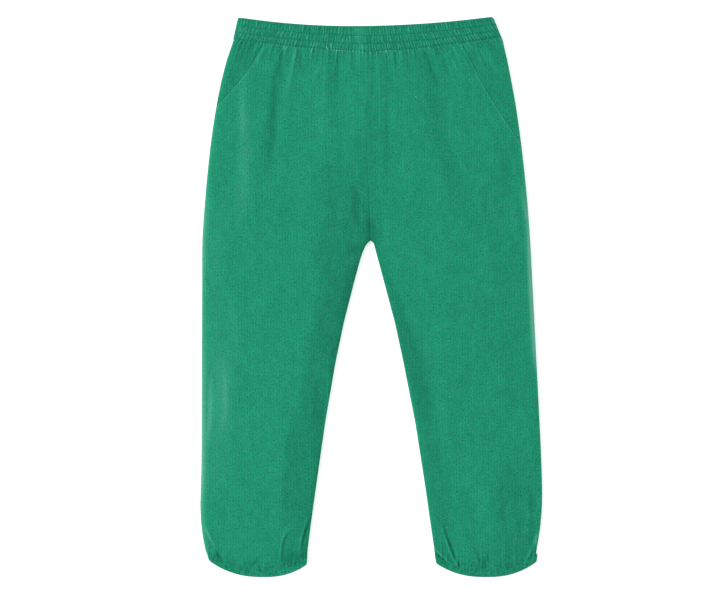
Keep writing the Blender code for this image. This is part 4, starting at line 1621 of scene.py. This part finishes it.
@dataclass(frozen=True)
class BackPanel:
    """Back of one leg and hip: flat where it rests, turned up along the side and the inner leg.

    Attributes:
        side: Side of the trousers.
        middle_columns: Number of even columns between the turned edges.
        turn_columns: Number of columns round each turned edge.
        flat: Width and length of the cut, in metres. Not used.
        area: Area of the cut, in square metres. Not used.
    """

    side: Side
    middle_columns: int = 70
    turn_columns: int = 8
    flat: tuple[float, float] = (0.155, 0.445)
    area: float = 0.0520

    def build(self, wardrobe: Wardrobe) -> bpy.types.Object:
        """Build and dress the panel.

        Args:
            wardrobe: Finishes.

        Returns:
            The finished piece.
        """
        angle = np.radians(np.linspace(0.0, 90.0, self.turn_columns))
        inwards = np.concatenate(([0.0], BACK_TURN * (1.0 - np.cos(angle))))
        heights = np.concatenate(([SEAM_LEVEL], BACK_ROUND * (1.0 - np.sin(angle))))
        levels = stepped((TOP_LEVEL, 190.0, 52.0, 40.0, -196.0, LOW_LEVEL), (1.5, 4.0, 0.9, 4.0, 1.5))
        levels = np.sort(np.concatenate((levels, [CROTCH_Y, CROTCH_Y - 0.02])))[::-1]
        y = np.repeat(levels[:, None], 2, axis=1)
        width = np.abs(side_x(self.side, y) - inner_x(self.side, y))[:, :1]
        near = inwards[None, :] / width
        middle = np.linspace(0.0, 1.0, self.middle_columns + 1)[1:-1]
        middle = near[:, -1:] + (1.0 - 2.0 * near[:, -1:]) * middle
        shares = np.concatenate((near, middle, 1.0 - near[:, ::-1]), axis=1)
        x, y = panel_plan(self.side, levels, shares, side_x)
        turned = len(inwards)
        z = np.zeros_like(x)
        z[:, -turned:] = heights[::-1]
        turned_share = fade(y[:, :turned], CROTCH_Y + CROTCH_TURN[0], CROTCH_Y - CROTCH_TURN[1])
        z[:, :turned] = heights * turned_share
        spread = np.linspace(0.0, BACK_TURN, turned) - inwards
        x[:, :turned] += self.side.outwards * spread * (1.0 - turned_share)
        points = np.stack((x, y, z), axis=-1)
        grid = ClothGrid(points, points[..., :2], np.zeros_like(z), flipped=self.side is Side.RIGHT)
        piece = given_wall(grid.object(f"back_{self.side.value}_cloth", wardrobe.cloth), CLOTH)
        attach(piece, BODY)
        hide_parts(f"back_{self.side.value}")
        return piece


@dataclass(frozen=True)
class PocketSide:
    """Hip piece that shows beyond the pocket opening and runs on under the front's edge.

    Attributes:
        side: Side of the trousers.
        rows: Number of rows from the end of the opening to the waistband.
        columns: Number of columns that show.
        flat: Width and length of the cut, in metres. Not used.
        area: Area of the cut, in square metres. Not used.
    """

    side: Side
    rows: int = 80
    columns: int = 60
    flat: tuple[float, float] = (0.042, 0.075)
    area: float = 0.00185

    def build(self, relief: Relief, wardrobe: Wardrobe) -> bpy.types.Object:
        """Build and dress the piece.

        Args:
            relief: Heights of the cloth.
            wardrobe: Finishes.

        Returns:
            The finished piece.
        """
        side, outwards = self.side, self.side.outwards
        lap_shares = np.linspace(1.0, 0.2, 6)
        even = np.linspace(0.0, 1.0, self.columns)
        shown = np.append(np.sin(0.5 * math.pi * even) * 0.4 + even * 0.6, 1.0)
        end_y = POCKET_ENDS[side] + POCKET_END_CLEAR
        share = np.linspace(1.0, 0.0, self.rows + 1)[:, None]
        y = np.full((self.rows + 1, len(lap_shares) + len(shown)), end_y)
        for _ in range(BEND_ROUNDS):
            opening = pocket_x(side, y[:, len(lap_shares):])
            on_show = opening + (side_x(side, y[:, len(lap_shares):]) - opening) * shown
            lap_y = y[:, :len(lap_shares)]
            lap = POCKET_LAP * np.clip((lap_y - POCKET_ENDS[side]) / POCKET_LAP_TAPER, 0.0, 1.0)
            under = pocket_x(side, lap_y) - outwards * lap * lap_shares
            x = np.concatenate((under, on_show), axis=1)
            y = end_y + (band_low_edge(x) + JOINT_LAP - end_y) * share
        shown_share = np.append(np.zeros(len(lap_shares)), shown)[None, :]
        beyond = (side_x(side, y) - pocket_x(side, y)) * outwards * shown_share
        drop = POCKET_DROP - (POCKET_DROP - POCKET_STEP) * fade(beyond, 0.0, 0.55)
        drop = drop * (1.0 - fade(shown_share, 0.2, 0.9))
        slope_x, slope_y = relief.front_slopes(side, x, y)
        length = np.sqrt(slope_x ** 2 + slope_y ** 2 + 1.0)
        z = relief.front(side, x, y) - drop / length
        # Painted shade on the hip piece, added to the cloth's tone
        tone = POCKET_PAINTED_SHADE[side] + relief.tone(side, x, y)
        z[:, -1] -= FOOT_DROP
        x = x + drop * slope_x / length
        y = y + np.minimum(drop * slope_y / length, 0.0)
        points = np.stack((x, y, z), axis=-1)
        grid = ClothGrid(points, points[..., :2], tone, flipped=side is Side.LEFT)
        piece = given_wall(grid.object(f"pocket_side_{side.value}_cloth", wardrobe.cloth), CLOTH)
        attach(piece, BODY)
        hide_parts(f"pocket_side_{side.value}")
        return piece


@dataclass(frozen=True)
class RingColumns:
    """Columns round a flattened ring.

    Attributes:
        outer: Share of the ring's width at which each column of the outer face stands.
        inner: The same for the inner face.
        lift: Height of each face over the ring's middle: 1 on the front, -1 on the back.
        along: Distance round the ring, with one more value that closes it.
    """

    outer: Array
    inner: Array
    lift: Array
    along: Array

    @classmethod
    def around(cls, span: float, wall: float, edge_round: float, steps: tuple[float, float]) -> RingColumns:
        """Lay columns across the front, down round one end, back across and up round the other.

        Args:
            span: Width of the ring.
            wall: Thickness of the ring's wall.
            edge_round: Width over which the front rounds down at the ends.
            steps: Distance between two columns on the front and on the back.

        Returns:
            The columns, whose ends follow quarter ellipses.
        """
        front = np.linspace(edge_round, span - edge_round, round(span / steps[0]))
        back = np.linspace(span - 2.0 * wall, 2.0 * wall, round(span / steps[1]))
        above = np.radians(np.linspace(86.0, 0.0, 22))
        below = np.radians(np.arange(7.5, 91.0, 7.5))
        corner = edge_round * (1.0 - np.cos(above))
        under = wall * (1.0 - np.cos(below))
        corner_in = wall + (edge_round - wall) * np.sin(above)
        under_in = wall * (1.0 + np.linspace(0.1, 0.9, len(below)))
        outer = np.concatenate((front, span - corner, span - under, back, under[::-1], corner[::-1]))
        inner = np.concatenate((front, span - corner_in, span - under_in, back,
                                under_in[::-1], corner_in[::-1]))
        lift = np.concatenate((np.ones(len(front)), np.sin(above), -np.sin(below),
                               -np.ones(len(back)), -np.sin(below)[::-1], np.sin(above)[::-1]))
        steps_round = np.abs(np.diff(np.append(outer, outer[0])))
        heights = np.abs(np.diff(np.append(lift, lift[0]))) * wall
        along = np.concatenate(([0.0], np.cumsum(np.hypot(steps_round, heights))))
        return cls(outer / span, inner / span, lift, along)


class DoubleBand:
    """Flattened ring of double cloth whose wall is folded over along one edge.

    Attributes:
        wall: Thickness of the double cloth with its elastic.
        slot: Space between the front wall and the back wall.
        edge_round: Width over which the front rounds down at both ends.
        steps: Distance between two columns on the front, and on the back.
        rows: Number of rows down the outer face.
        folded: Edge at which the cloth is folded over.
    """

    wall: float
    slot: float
    edge_round: float
    steps: tuple[float, float]
    rows: int
    folded: FoldedEdge

    def edges(self) -> tuple[object, object]:
        """Functions that give plan points of the upper and the lower edge from a share."""
        raise NotImplementedError

    def face(self, share: Array, down: Array) -> Array:
        """Height of the front face."""
        raise NotImplementedError

    def underside(self, share: Array, down: Array) -> Array:
        """Height of the back face."""
        raise NotImplementedError

    def tone(self, share: Array, down: Array) -> Array:
        """Tone of the cloth: above 0 on worn crests, below 0 in the grooves."""
        raise NotImplementedError

    def plan(self, share: Array, down: Array) -> tuple[Array, Array]:
        """Plan points at shares of the width and of the way down.

        Args:
            share: Share of the band's width.
            down: Share of the way down.

        Returns:
            Places along x, and places along y.
        """
        upper, lower = self.edges()
        x0, y0 = upper(share)
        x1, y1 = lower(share)
        return x0 + (x1 - x0) * down, y0 + (y1 - y0) * down

    def section(self, depth: float) -> tuple[Array, Array]:
        """Profile round the wall: down the outer face, round the edges and up the inner face.

        Args:
            depth: Distance between the two edges.

        Returns:
            For each row its share of the way down, and its share of the way through the wall.
        """
        fold = 0.5 * self.wall / depth
        cut = 0.04 * self.wall / depth
        turn = np.linspace(0.0, math.pi, 11)[1:-1]
        through = 0.5 * (1.0 - np.cos(turn))
        top, bottom = (fold, cut) if self.folded is FoldedEdge.TOP else (cut, fold)
        outer = np.linspace(top, 1.0 - bottom, self.rows)
        inner = np.linspace(1.0 - bottom, top, 6)
        down = np.concatenate((outer, 1.0 - bottom + bottom * np.sin(turn), inner, top - top * np.sin(turn)))
        inwards = np.concatenate((np.zeros(len(outer)), through, np.ones(len(inner)), 1.0 - through))
        return down, inwards

    def grid(self) -> ClothGrid:
        """Carry the profile round the ring.

        Returns:
            The closed grid, whose rows run round the wall and whose columns run round the ring.
        """
        upper, lower = self.edges()
        ends = upper(np.array([0.0, 1.0]))[0]
        depth = float(np.abs(upper(np.array([0.5]))[1] - lower(np.array([0.5]))[1])[0])
        columns = RingColumns.around(ends[1] - ends[0], self.wall, self.edge_round, self.steps)
        down, inwards = self.section(depth)
        middle = self.wall + 0.5 * self.slot
        shares = np.broadcast_to(columns.outer, (len(down), len(columns.outer)))
        downs = np.broadcast_to(down[:, None], shares.shape)
        x, y = self.plan(shares, downs)
        above = (self.face(shares, downs) - middle) * columns.lift
        below = (middle - self.underside(shares, downs)) * columns.lift
        z = middle + np.where(columns.lift > 0.0, above, below)
        tone = self.tone(shares, downs) * (1.0 - inwards[:, None])
        outside = np.stack((x, y, z), axis=-1)
        shares = np.broadcast_to(columns.inner, shares.shape)
        x, y = self.plan(shares, downs)
        level = np.broadcast_to(middle + 0.5 * self.slot * columns.lift, shares.shape)
        inside = np.stack((x, y, level), axis=-1)
        share = inwards[:, None, None]
        points = outside * (1.0 - share) + inside * share
        steps = np.hypot(np.diff(down) * depth, np.diff(inwards) * self.wall)
        run = np.concatenate(([0.0], np.cumsum(steps)))
        run = np.append(run, run[-1] + 0.3 * self.wall)
        cloth = np.stack(np.broadcast_arrays(columns.along[None, :], run[:, None]), axis=-1)
        return ClothGrid(points, cloth, tone, round_rows=True, round_columns=True)


@dataclass(frozen=True)
class Waistband(DoubleBand):
    """Gathered waistband with three elastic channels between its rows of sewing.

    Attributes:
        relief: Heights and gathers of the cloth.
        crest: Height of the puffed channels.
        valley: Height at the rows of sewing.
        sewing: Places of the rows of sewing, as shares of the way down.
        stitch: Length of a stitch and of the gap after it.
        crest_tone: How strongly crests show as painted highlight and grooves as painted shade.
        flat: Length and depth of the cut, in metres. Not used.
    """

    relief: Relief
    wall: float = 3.0
    slot: float = 0.5
    edge_round: float = 6.0
    steps: tuple[float, float] = (0.34, 0.8)
    rows: int = 46
    folded: FoldedEdge = FoldedEdge.TOP
    crest: float = 6.2
    valley: float = 5.75
    sewing: tuple[float, float, float] = (0.375, 0.685, 0.985)
    stitch: tuple[float, float] = (1.3, 1.2)
    crest_tone: float = 1.8
    flat: tuple[float, float] = (0.56, 0.020)

    def edges(self) -> tuple[object, object]:
        """Functions that give plan points of the upper and the lower edge from a share.

        Returns:
            Function for the upper edge, and function for the lower edge.
        """
        def upper(share: Array) -> tuple[Array, Array]:
            """Upper edge, from the right end to the left end."""
            x = BAND_TOP_ENDS[0] + (BAND_TOP_ENDS[1] - BAND_TOP_ENDS[0]) * share
            return x, BAND_TOP.at(x)

        def lower(share: Array) -> tuple[Array, Array]:
            """Lower edge, from the right end to the left end."""
            x = BAND_LOW_ENDS[0] + (BAND_LOW_ENDS[1] - BAND_LOW_ENDS[0]) * share
            return x, band_low_edge(x)

        return upper, lower

    def channels(self, down: Array) -> tuple[Array, Array, Array]:
        """Place across the channels.

        Args:
            down: Share of the way down the band.

        Returns:
            The channel's number, the share of the way down the channel, and how far the cloth
            puffs up between its rows of sewing.
        """
        stops = (0.0,) + self.sewing
        row = np.interp(down, stops, np.arange(4.0))
        channel = np.minimum(np.floor(row).astype(int), 2)
        inside = row - channel
        puff = np.clip(4.0 * inside * (1.0 - inside), 0.0, 1.0) ** 0.4
        return channel, inside, np.maximum(puff, fade(row, 0.3, 0.0))

    def ridges(self, share: Array, down: Array) -> Array:
        """Gathers of each channel with the small creases between them.

        Args:
            share: Share of the band's width.
            down: Share of the way down.

        Returns:
            Heights over the channels' mean level.
        """
        channel, inside, _ = self.channels(down)
        place = share * BAND_SPAN
        total = 0.10 * value_noise(place / 1.5, down * 19.0 / 1.9, 61)
        for number, gathers in enumerate(self.relief.channels):
            ridges = gathers.ridges(place, 2.0 * inside) - gathers.mean()
            total = total + ridges * (channel == number)
        return total

    def face(self, share: Array, down: Array) -> Array:
        """Height of the front face: puffed channels crossed by the gathers.

        Args:
            share: Share of the band's width.
            down: Share of the way down.

        Returns:
            Heights, which meet the panels below the last row.
        """
        _, _, puff = self.channels(down)
        x, _ = self.plan(share, down)
        seam = 1.0 - 0.6 * np.exp(-((x - BAND_JOIN_X) / 4.0) ** 2)
        pinch = 0.25 + 0.75 * np.sqrt(puff)
        base = self.valley + (self.crest - self.valley) * puff
        high = base + self.ridges(share, down) * seam * pinch * (0.35 + 0.65 * fade(down, 0.0, 0.1))
        last = fade(down, 0.90, 0.985)
        return high * (1.0 - last) + self.relief.joint(x, band_low_edge(x)) * last

    def underside(self, share: Array, down: Array) -> Array:
        """Height of the back face: flat where it rests, with grooves between the gathers.

        Args:
            share: Share of the band's width.
            down: Share of the way down.

        Returns:
            Heights of the back face.
        """
        _, _, puff = self.channels(down)
        grooves = np.clip(0.25 - self.ridges(1.0 - share, down), 0.0, 0.45)
        return 0.7 * grooves + 0.3 * (1.0 - puff)

    def tone(self, share: Array, down: Array) -> Array:
        """Tone of the cloth: painted highlight on crests, painted shade in grooves and rows of sewing, paler
        where it is joined.

        Args:
            share: Share of the band's width.
            down: Share of the way down.

        Returns:
            Tone of the cloth.
        """
        x, _ = self.plan(share, down)
        _, _, puff = self.channels(down)
        away = ((x - BAND_JOIN_X) / 4.5) ** 2
        pinch = 0.2 + 0.8 * puff ** 1.5
        # Painted highlight on the gathers' crests and painted shade between them
        creased = self.crest_tone * self.ridges(share, down) * (1.0 - 0.6 * np.exp(-away)) * pinch
        # Paler where joined, painted shade at the left end, and painted light towards the lit side
        joined = 0.30 * np.exp(-away) - 0.08 * fade(x, 94.0, 102.0) + self.relief.side_light_tone(x)
        # Painted shade in the rows of sewing, and darker towards the top edge
        last = 0.3 + 0.7 * fade(down, 0.985, 0.93)
        grooves = 0.65 * (1.0 - puff) ** 2 * last + 0.16 * fade(down, 0.3, 0.0)
        return np.clip(creased, -0.7, 0.7) + joined - 0.03 - grooves

    def sew(self, wardrobe: Wardrobe) -> bpy.types.Object:
        """Sew the rows of green stitches on the front and on the back.

        Args:
            wardrobe: Finishes.

        Returns:
            The stitches as one piece.
        """
        length, gap = self.stitch
        span = BAND_LOW_ENDS[1] - BAND_LOW_ENDS[0]
        begin = np.arange(self.edge_round, span - self.edge_round, length + gap)
        starts, ends = [], []
        for down in self.sewing:
            for height, lift in ((self.face, 0.04), (self.underside, -0.12)):
                for places, kept in ((begin / span, starts), ((begin + length) / span, ends)):
                    downs = np.full(places.shape, down)
                    x, y = self.plan(places, downs)
                    kept.append(np.stack((x, y, height(places, downs) + lift), axis=-1))
        piece = rods(np.concatenate(starts), np.concatenate(ends), 0.15, 0.0,
                     "waistband_stitches", wardrobe.green)
        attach(piece, BODY)
        return piece

    def build(self, wardrobe: Wardrobe) -> bpy.types.Object:
        """Build and dress the waistband with its stitches.

        Args:
            wardrobe: Finishes.

        Returns:
            The finished band.
        """
        piece = self.grid().object("waistband_cloth", wardrobe.band)
        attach(piece, BODY)
        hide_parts("waistband")
        stitches = self.sew(wardrobe)
        return piece


@dataclass(frozen=True)
class HemCasing(DoubleBand):
    """Elastic hem casing of one leg, which follows the round hem.

    Attributes:
        side: Side of the trousers.
        relief: Heights and gathers of the cloth.
        crest: Height of the casing's middle.
        joint_fall: Fall of the casing where it meets the panels.
        back_span: Length over which the gathers of the back face are laid out.
        flat: Length and depth of the cut, in metres. Not used.
        area: Area of the cut, in square metres. Not used.
    """

    side: Side
    relief: Relief
    wall: float = 2.0
    slot: float = 0.4
    edge_round: float = 4.0
    steps: tuple[float, float] = (0.45, 0.9)
    rows: int = 16
    folded: FoldedEdge = FoldedEdge.BOTTOM
    crest: float = 4.2
    joint_fall: float = 0.09
    back_span: float = 84.0
    flat: tuple[float, float] = (0.178, 0.0105)
    area: float = 0.00135

    def edges(self) -> tuple[object, object]:
        """Functions that give plan points of the upper and the lower edge from a share.

        Returns:
            Function for the upper edge, and function for the lower edge.
        """
        def along(edge: HemEdge) -> object:
            """Function for one edge, from its smaller x to its larger x.

            Args:
                edge: Edge of the casing.

            Returns:
                Function that gives plan points at shares of the edge's width.
            """
            low, high = sorted((edge.inner_x, edge.outer_x))

            def points(share: Array) -> tuple[Array, Array]:
                """Point of the edge at each share of its width."""
                x = low + (high - low) * share
                return x, hem_curve(x, edge)

            return points

        return along(CASING_TOPS[self.side]), along(CASING_ENDS[self.side])

    def face(self, share: Array, down: Array) -> Array:
        """Height of the front face: a soft roll crossed by the gathers.

        Args:
            share: Share of the band's width.
            down: Share of the way down.

        Returns:
            Heights of the front face.
        """
        gathers = self.relief.hem_gathers[self.side]
        x, y = self.plan(share, down)
        line = np.minimum(2.0 * down, 2.0)
        ridges = gathers.ridges(self.relief.hem_place(self.side, x), line) - gathers.mean()
        top = self.relief.crown(self.side, x, hem_curve(x, CASING_TOPS[self.side])) - self.joint_fall
        rise = fade(down, 0.0, 0.35)
        fall = fade(down, 1.0, 0.7)
        creased = (ridges + self.relief.crinkle(x, y)) * (0.4 + 0.6 * fall)
        roll = self.crest - 0.4 * (1.0 - fall) + creased
        return top * (1.0 - rise) + roll * rise

    def tone(self, share: Array, down: Array) -> Array:
        """Tone of the cloth: darker than the panels by painted shade, with painted highlight on the crests
        and painted shade in the grooves of its crepe.

        Args:
            share: Share of the band's width.
            down: Share of the way down.

        Returns:
            Tone of the cloth.
        """
        x, y = self.plan(share, down)
        gathers = self.relief.hem_gathers[self.side]
        ridges = gathers.ridges(self.relief.hem_place(self.side, x), np.minimum(2.0 * down, 2.0))
        # Painted highlight on the crests and painted shade in the grooves of the gathers, crepe and creases
        creased = self.relief.hem_pucker_tone * (ridges - gathers.mean())
        creased = creased + self.relief.crinkle_tone * self.relief.crinkle(x, y)
        folds = self.relief.strokes(FINE_FOLDS, self.side, x, y)
        creased = creased + self.relief.casing_crease_tone * folds
        # Painted shade over the whole casing, and painted light towards the lit side
        return np.clip(creased, -0.6, 0.7) - self.relief.hem_shade + self.relief.side_light_tone(x)

    def underside(self, share: Array, down: Array) -> Array:
        """Height of the back face: flat where it rests, with grooves between the gathers.

        Args:
            share: Share of the band's width.
            down: Share of the way down.

        Returns:
            Heights of the back face.
        """
        gathers = self.relief.hem_gathers[self.side]
        ridges = gathers.ridges((1.0 - share) * self.back_span, np.minimum(2.0 * down, 2.0))
        return np.clip(0.3 - ridges, 0.0, 0.3) * 0.7

    def build(self, wardrobe: Wardrobe) -> bpy.types.Object:
        """Build and dress the casing.

        Args:
            wardrobe: Finishes.

        Returns:
            The finished piece.
        """
        piece = self.grid().object(f"hem_casing_{self.side.value}_cloth", wardrobe.hem)
        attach(piece, BODY)
        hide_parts(f"hem_casing_{self.side.value}")
        return piece


@dataclass(frozen=True)
class TackStitches:
    """White stitches along the waistband's last row, and the few that stand beside them.

    Attributes:
        dots: Places along x of the short stitches that show as dots on the last row.
        dash: Ends along x of the long stitch on the last row.
        slips: Stitches off the row, as x0, y0, x1, y1.
        sunk: Stitches that have nearly sunk into the pile, in the same layout.
        dot_length: Length of a stitch that shows as a dot.
        raised_thread: Radius of the stitches that stand out, and their height over the band.
        sunk_thread: The same for the stitches that have sunk in.
        arch: Rise of a stitch's middle over its ends.
    """

    dots: tuple[float, ...] = (-32.5, -30.1, -28.2, -26.1, -23.7, -17.8, -15.0, -12.3, -7.4, 8.2, 16.1)
    dash: tuple[float, float] = (10.5, 14.1)
    slips: tuple[tuple[float, float, float, float], ...] = (
        (-37.1, 204.6, -34.9, 202.3),
        (-32.8, 207.6, -32.8, 203.6),
    )
    sunk: tuple[tuple[float, float, float, float], ...] = (
        (-21.9, 201.5, -20.9, 201.5),
        (-10.3, 200.9, -9.3, 200.9),
        (4.0, 200.9, 5.0, 200.9),
        (-8.0, 208.4, -8.0, 207.5),
        (-8.0, 206.6, -8.0, 205.6),
        (-8.0, 204.8, -8.0, 204.0),
        (-13.2, 219.0, -11.8, 219.0),
        (-11.2, 219.0, -9.8, 219.0),
        (-13.4, 213.1, -12.2, 213.1),
        (-11.4, 213.1, -10.4, 213.1),
        (-9.4, 213.0, -8.2, 213.0),
    )
    dot_length: float = 1.1
    raised_thread: tuple[float, float] = (0.27, 0.2)
    sunk_thread: tuple[float, float] = (0.15, 0.1)
    arch: float = 0.12

    @staticmethod
    def laid(band: Waistband, lines: Array, lift: float) -> tuple[Array, Array]:
        """Lay both ends of each stitch on the waistband's face, raised by a lift.

        Args:
            band: Waistband on which they lie.
            lines: x0, y0, x1, y1 of each stitch.
            lift: Height of their ends over the band.

        Returns:
            First ends, and other ends, stitches by 3.
        """
        ends = []
        for x, y in ((lines[:, 0], lines[:, 1]), (lines[:, 2], lines[:, 3])):
            share = (x - BAND_LOW_ENDS[0]) / (BAND_LOW_ENDS[1] - BAND_LOW_ENDS[0])
            top = BAND_TOP.at(x)
            down = np.clip((top - y) / (top - band_low_edge(x)), 0.02, 0.985)
            ends.append(np.stack((x, y, band.face(share, down) + lift), axis=-1))
        return ends[0], ends[1]

    def build(self, band: Waistband, wardrobe: Wardrobe) -> list[bpy.types.Object]:
        """Sew the stitches onto the waistband.

        Args:
            band: Waistband that they lie on.
            wardrobe: Finishes.

        Returns:
            The stitches that stand out, and those that have sunk in.
        """
        half = 0.5 * self.dot_length
        row = [(x - half, x + half) for x in self.dots] + [self.dash]
        on_row = [(x0, float(band_low_edge(np.array(x0))), x1, float(band_low_edge(np.array(x1))))
                  for x0, x1 in row]
        pieces = []
        for name, lines, thread in (("white_stitches", on_row + list(self.slips), self.raised_thread),
                                    ("sunk_stitches", list(self.sunk), self.sunk_thread)):
            starts, ends = self.laid(band, np.array(lines), thread[1])
            pieces.append(rods(starts, ends, thread[0], self.arch, name, wardrobe.white))
            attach(pieces[-1], BODY)
        return pieces


@dataclass(frozen=True)
class Lint:
    """Specks of fluff on the fronts.

    Attributes:
        fibres: Side, then x0, y0, x1, y1 of each fibre.
        radius: Radius of a fibre.
        lift: Height of its ends over the cloth.
        arch: Rise of its middle over its ends.
    """

    fibres: tuple[tuple[Side, float, float, float, float], ...] = (
        (L, 35.9, 164.2, 37.7, 162.9),
        (L, 57.7, -92.0, 58.5, -92.4),
        (L, 61.6, -188.5, 62.6, -188.9),
        (L, 134.3, -202.4, 135.6, -200.2),
    )
    radius: float = 0.16
    lift: float = 0.12
    arch: float = 0.1

    def build(self, relief: Relief, wardrobe: Wardrobe) -> bpy.types.Object:
        """Lay the fibres on the cloth.

        Args:
            relief: Heights of the cloth.
            wardrobe: Finishes.

        Returns:
            The fibres as one piece.
        """
        ends: tuple[list, list] = ([], [])
        for side, x0, y0, x1, y1 in self.fibres:
            for kept, x, y in ((ends[0], x0, y0), (ends[1], x1, y1)):
                height = relief.front(side, np.array([[x]]), np.array([[y]]))[0, 0]
                kept.append((x, y, height + self.lift))
        piece = rods(np.array(ends[0]), np.array(ends[1]), self.radius, self.arch, "lint", wardrobe.white)
        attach(piece, BODY)
        return piece


@dataclass(frozen=True)
class Studio:
    """Plain pale floor, soft light from the upper left and the camera straight above.

    Attributes:
        floor_size: Side of the floor, in metres.
        floor_albedo: Brightness of the floor's colour.
        floor_glow: Light that the floor gives off, like a light table.
        floor_level: Height of the floor, just under the trousers.
        fill: Strength of the even light from all round.
        key: Strength of the soft key.
        key_elevation: Height of the key over the floor, in degrees.
        side_fill: Strength of the weak light from the other side.
        side_fill_elevation: Height of the side fill over the floor, in degrees.
        key_azimuth: Direction the key comes from, in degrees from -X towards +Y.
        key_softness: Width of both lights as seen from the trousers, in degrees.
        centre: Point that the camera looks straight down on, in millimetres.
        lens: Focal length, in millimetres.
        sensor: Width of the sensor, in millimetres.
        view_width: Width of the view at the trousers, in metres.
    """

    floor_size: float = 6.0
    floor_albedo: float = 0.93
    floor_glow: float = 0.5
    floor_level: float = -0.3
    fill: float = 0.50
    key: float = 1.85
    key_elevation: float = 42.0
    side_fill: float = 0.45
    side_fill_elevation: float = 25.0
    key_azimuth: float = 12.0
    key_softness: float = 32.0
    centre: tuple[float, float] = (-9.2, -1.3)
    lens: float = 85.0
    sensor: float = 36.0
    view_width: float = 0.5904

    def floor(self) -> None:
        """Lay the floor just under the trousers."""
        half = 0.5 * self.floor_size
        level = self.floor_level * MM
        corners = [(-half, -half, level), (half, -half, level), (half, half, level), (-half, half, level)]
        mesh = bpy.data.meshes.new("floor")
        mesh.from_pydata(corners, [], [(0, 1, 2, 3)])
        material = bpy.data.materials.new("pale_floor")
        material.use_nodes = True
        shader = material.node_tree.nodes["Principled BSDF"]
        shader.inputs["Base Color"].default_value = (*([self.floor_albedo] * 3), 1.0)
        shader.inputs["Roughness"].default_value = 1.0
        shader.inputs["Specular IOR Level"].default_value = 0.0
        shader.inputs["Emission Color"].default_value = (1.0, 1.0, 1.0, 1.0)
        shader.inputs["Emission Strength"].default_value = self.floor_glow
        mesh.materials.append(material)
        linked("floor", mesh)

    def lights(self) -> None:
        """Light the scene by a white world, a soft key and a weak light from the other side."""
        world = bpy.data.worlds.new("studio")
        world.use_nodes = True
        background = world.node_tree.nodes["Background"]
        background.inputs["Color"].default_value = (1.0, 1.0, 1.0, 1.0)
        background.inputs["Strength"].default_value = self.fill
        bpy.context.scene.world = world
        self.sun("key", self.key, self.key_elevation, -self.key_azimuth)
        self.sun("side_fill", self.side_fill, self.side_fill_elevation, 180.0 - self.key_azimuth)

    def sun(self, name: str, strength: float, elevation: float, turn: float) -> None:
        """Put up a wide soft lamp.

        Args:
            name: Name of the lamp.
            strength: Strength of the lamp.
            elevation: Height over the floor, in degrees.
            turn: Turn about the vertical from the direction of -X, in degrees.
        """
        lamp = bpy.data.lights.new(name, "SUN")
        lamp.energy = strength
        lamp.angle = math.radians(self.key_softness)
        holder = bpy.data.objects.new(name, lamp)
        holder.rotation_euler = (0.0, math.radians(elevation - 90.0), math.radians(turn))
        bpy.context.scene.collection.objects.link(holder)

    def camera(self) -> None:
        """Hang the camera straight above the trousers, with the waist at the top of the view."""
        camera = bpy.data.cameras.new("camera")
        camera.lens = self.lens
        camera.sensor_width = self.sensor
        eye = bpy.data.objects.new("camera", camera)
        height = self.view_width * self.lens / self.sensor
        eye.location = (self.centre[0] * MM, self.centre[1] * MM, height + 3.0 * MM)
        bpy.context.scene.collection.objects.link(eye)
        bpy.context.scene.camera = eye

    def build(self) -> None:
        """Set up the floor, the lights, the camera and the plain view of colours."""
        self.floor()
        self.lights()
        self.camera()
        bpy.context.scene.view_settings.view_transform = "Standard"


def triangle_count(piece: bpy.types.Object) -> int:
    """Number of triangles of a piece with its modifiers.

    Args:
        piece: Finished piece.

    Returns:
        The count.
    """
    evaluated = piece.evaluated_get(bpy.context.evaluated_depsgraph_get())
    mesh = evaluated.to_mesh()
    mesh.calc_loop_triangles()
    count = len(mesh.loop_triangles)
    evaluated.to_mesh_clear()
    return count


def report(piece: bpy.types.Object) -> None:
    """Log the name and the triangles of a finished piece."""
    LOG.info("%s: %d triangles", piece.name, triangle_count(piece))


def main() -> None:
    """Build the studio and the trousers piece by piece."""
    logging.basicConfig(level=logging.INFO, format="%(message)s")
    Studio().build()
    wardrobe = Wardrobe.make()
    relief = Relief.make()
    for side in Side:
        report(BackPanel(side).build(wardrobe))
        report(FrontPanel(side).build(relief, wardrobe))
        report(PocketSide(side).build(relief, wardrobe))
        report(HemCasing(side, relief).build(wardrobe))
    band = Waistband(relief)
    report(band.build(wardrobe))
    for stitches in TackStitches().build(band, wardrobe):
        report(stitches)
    report(Lint().build(relief, wardrobe))


if __name__ == "__main__":
    main()
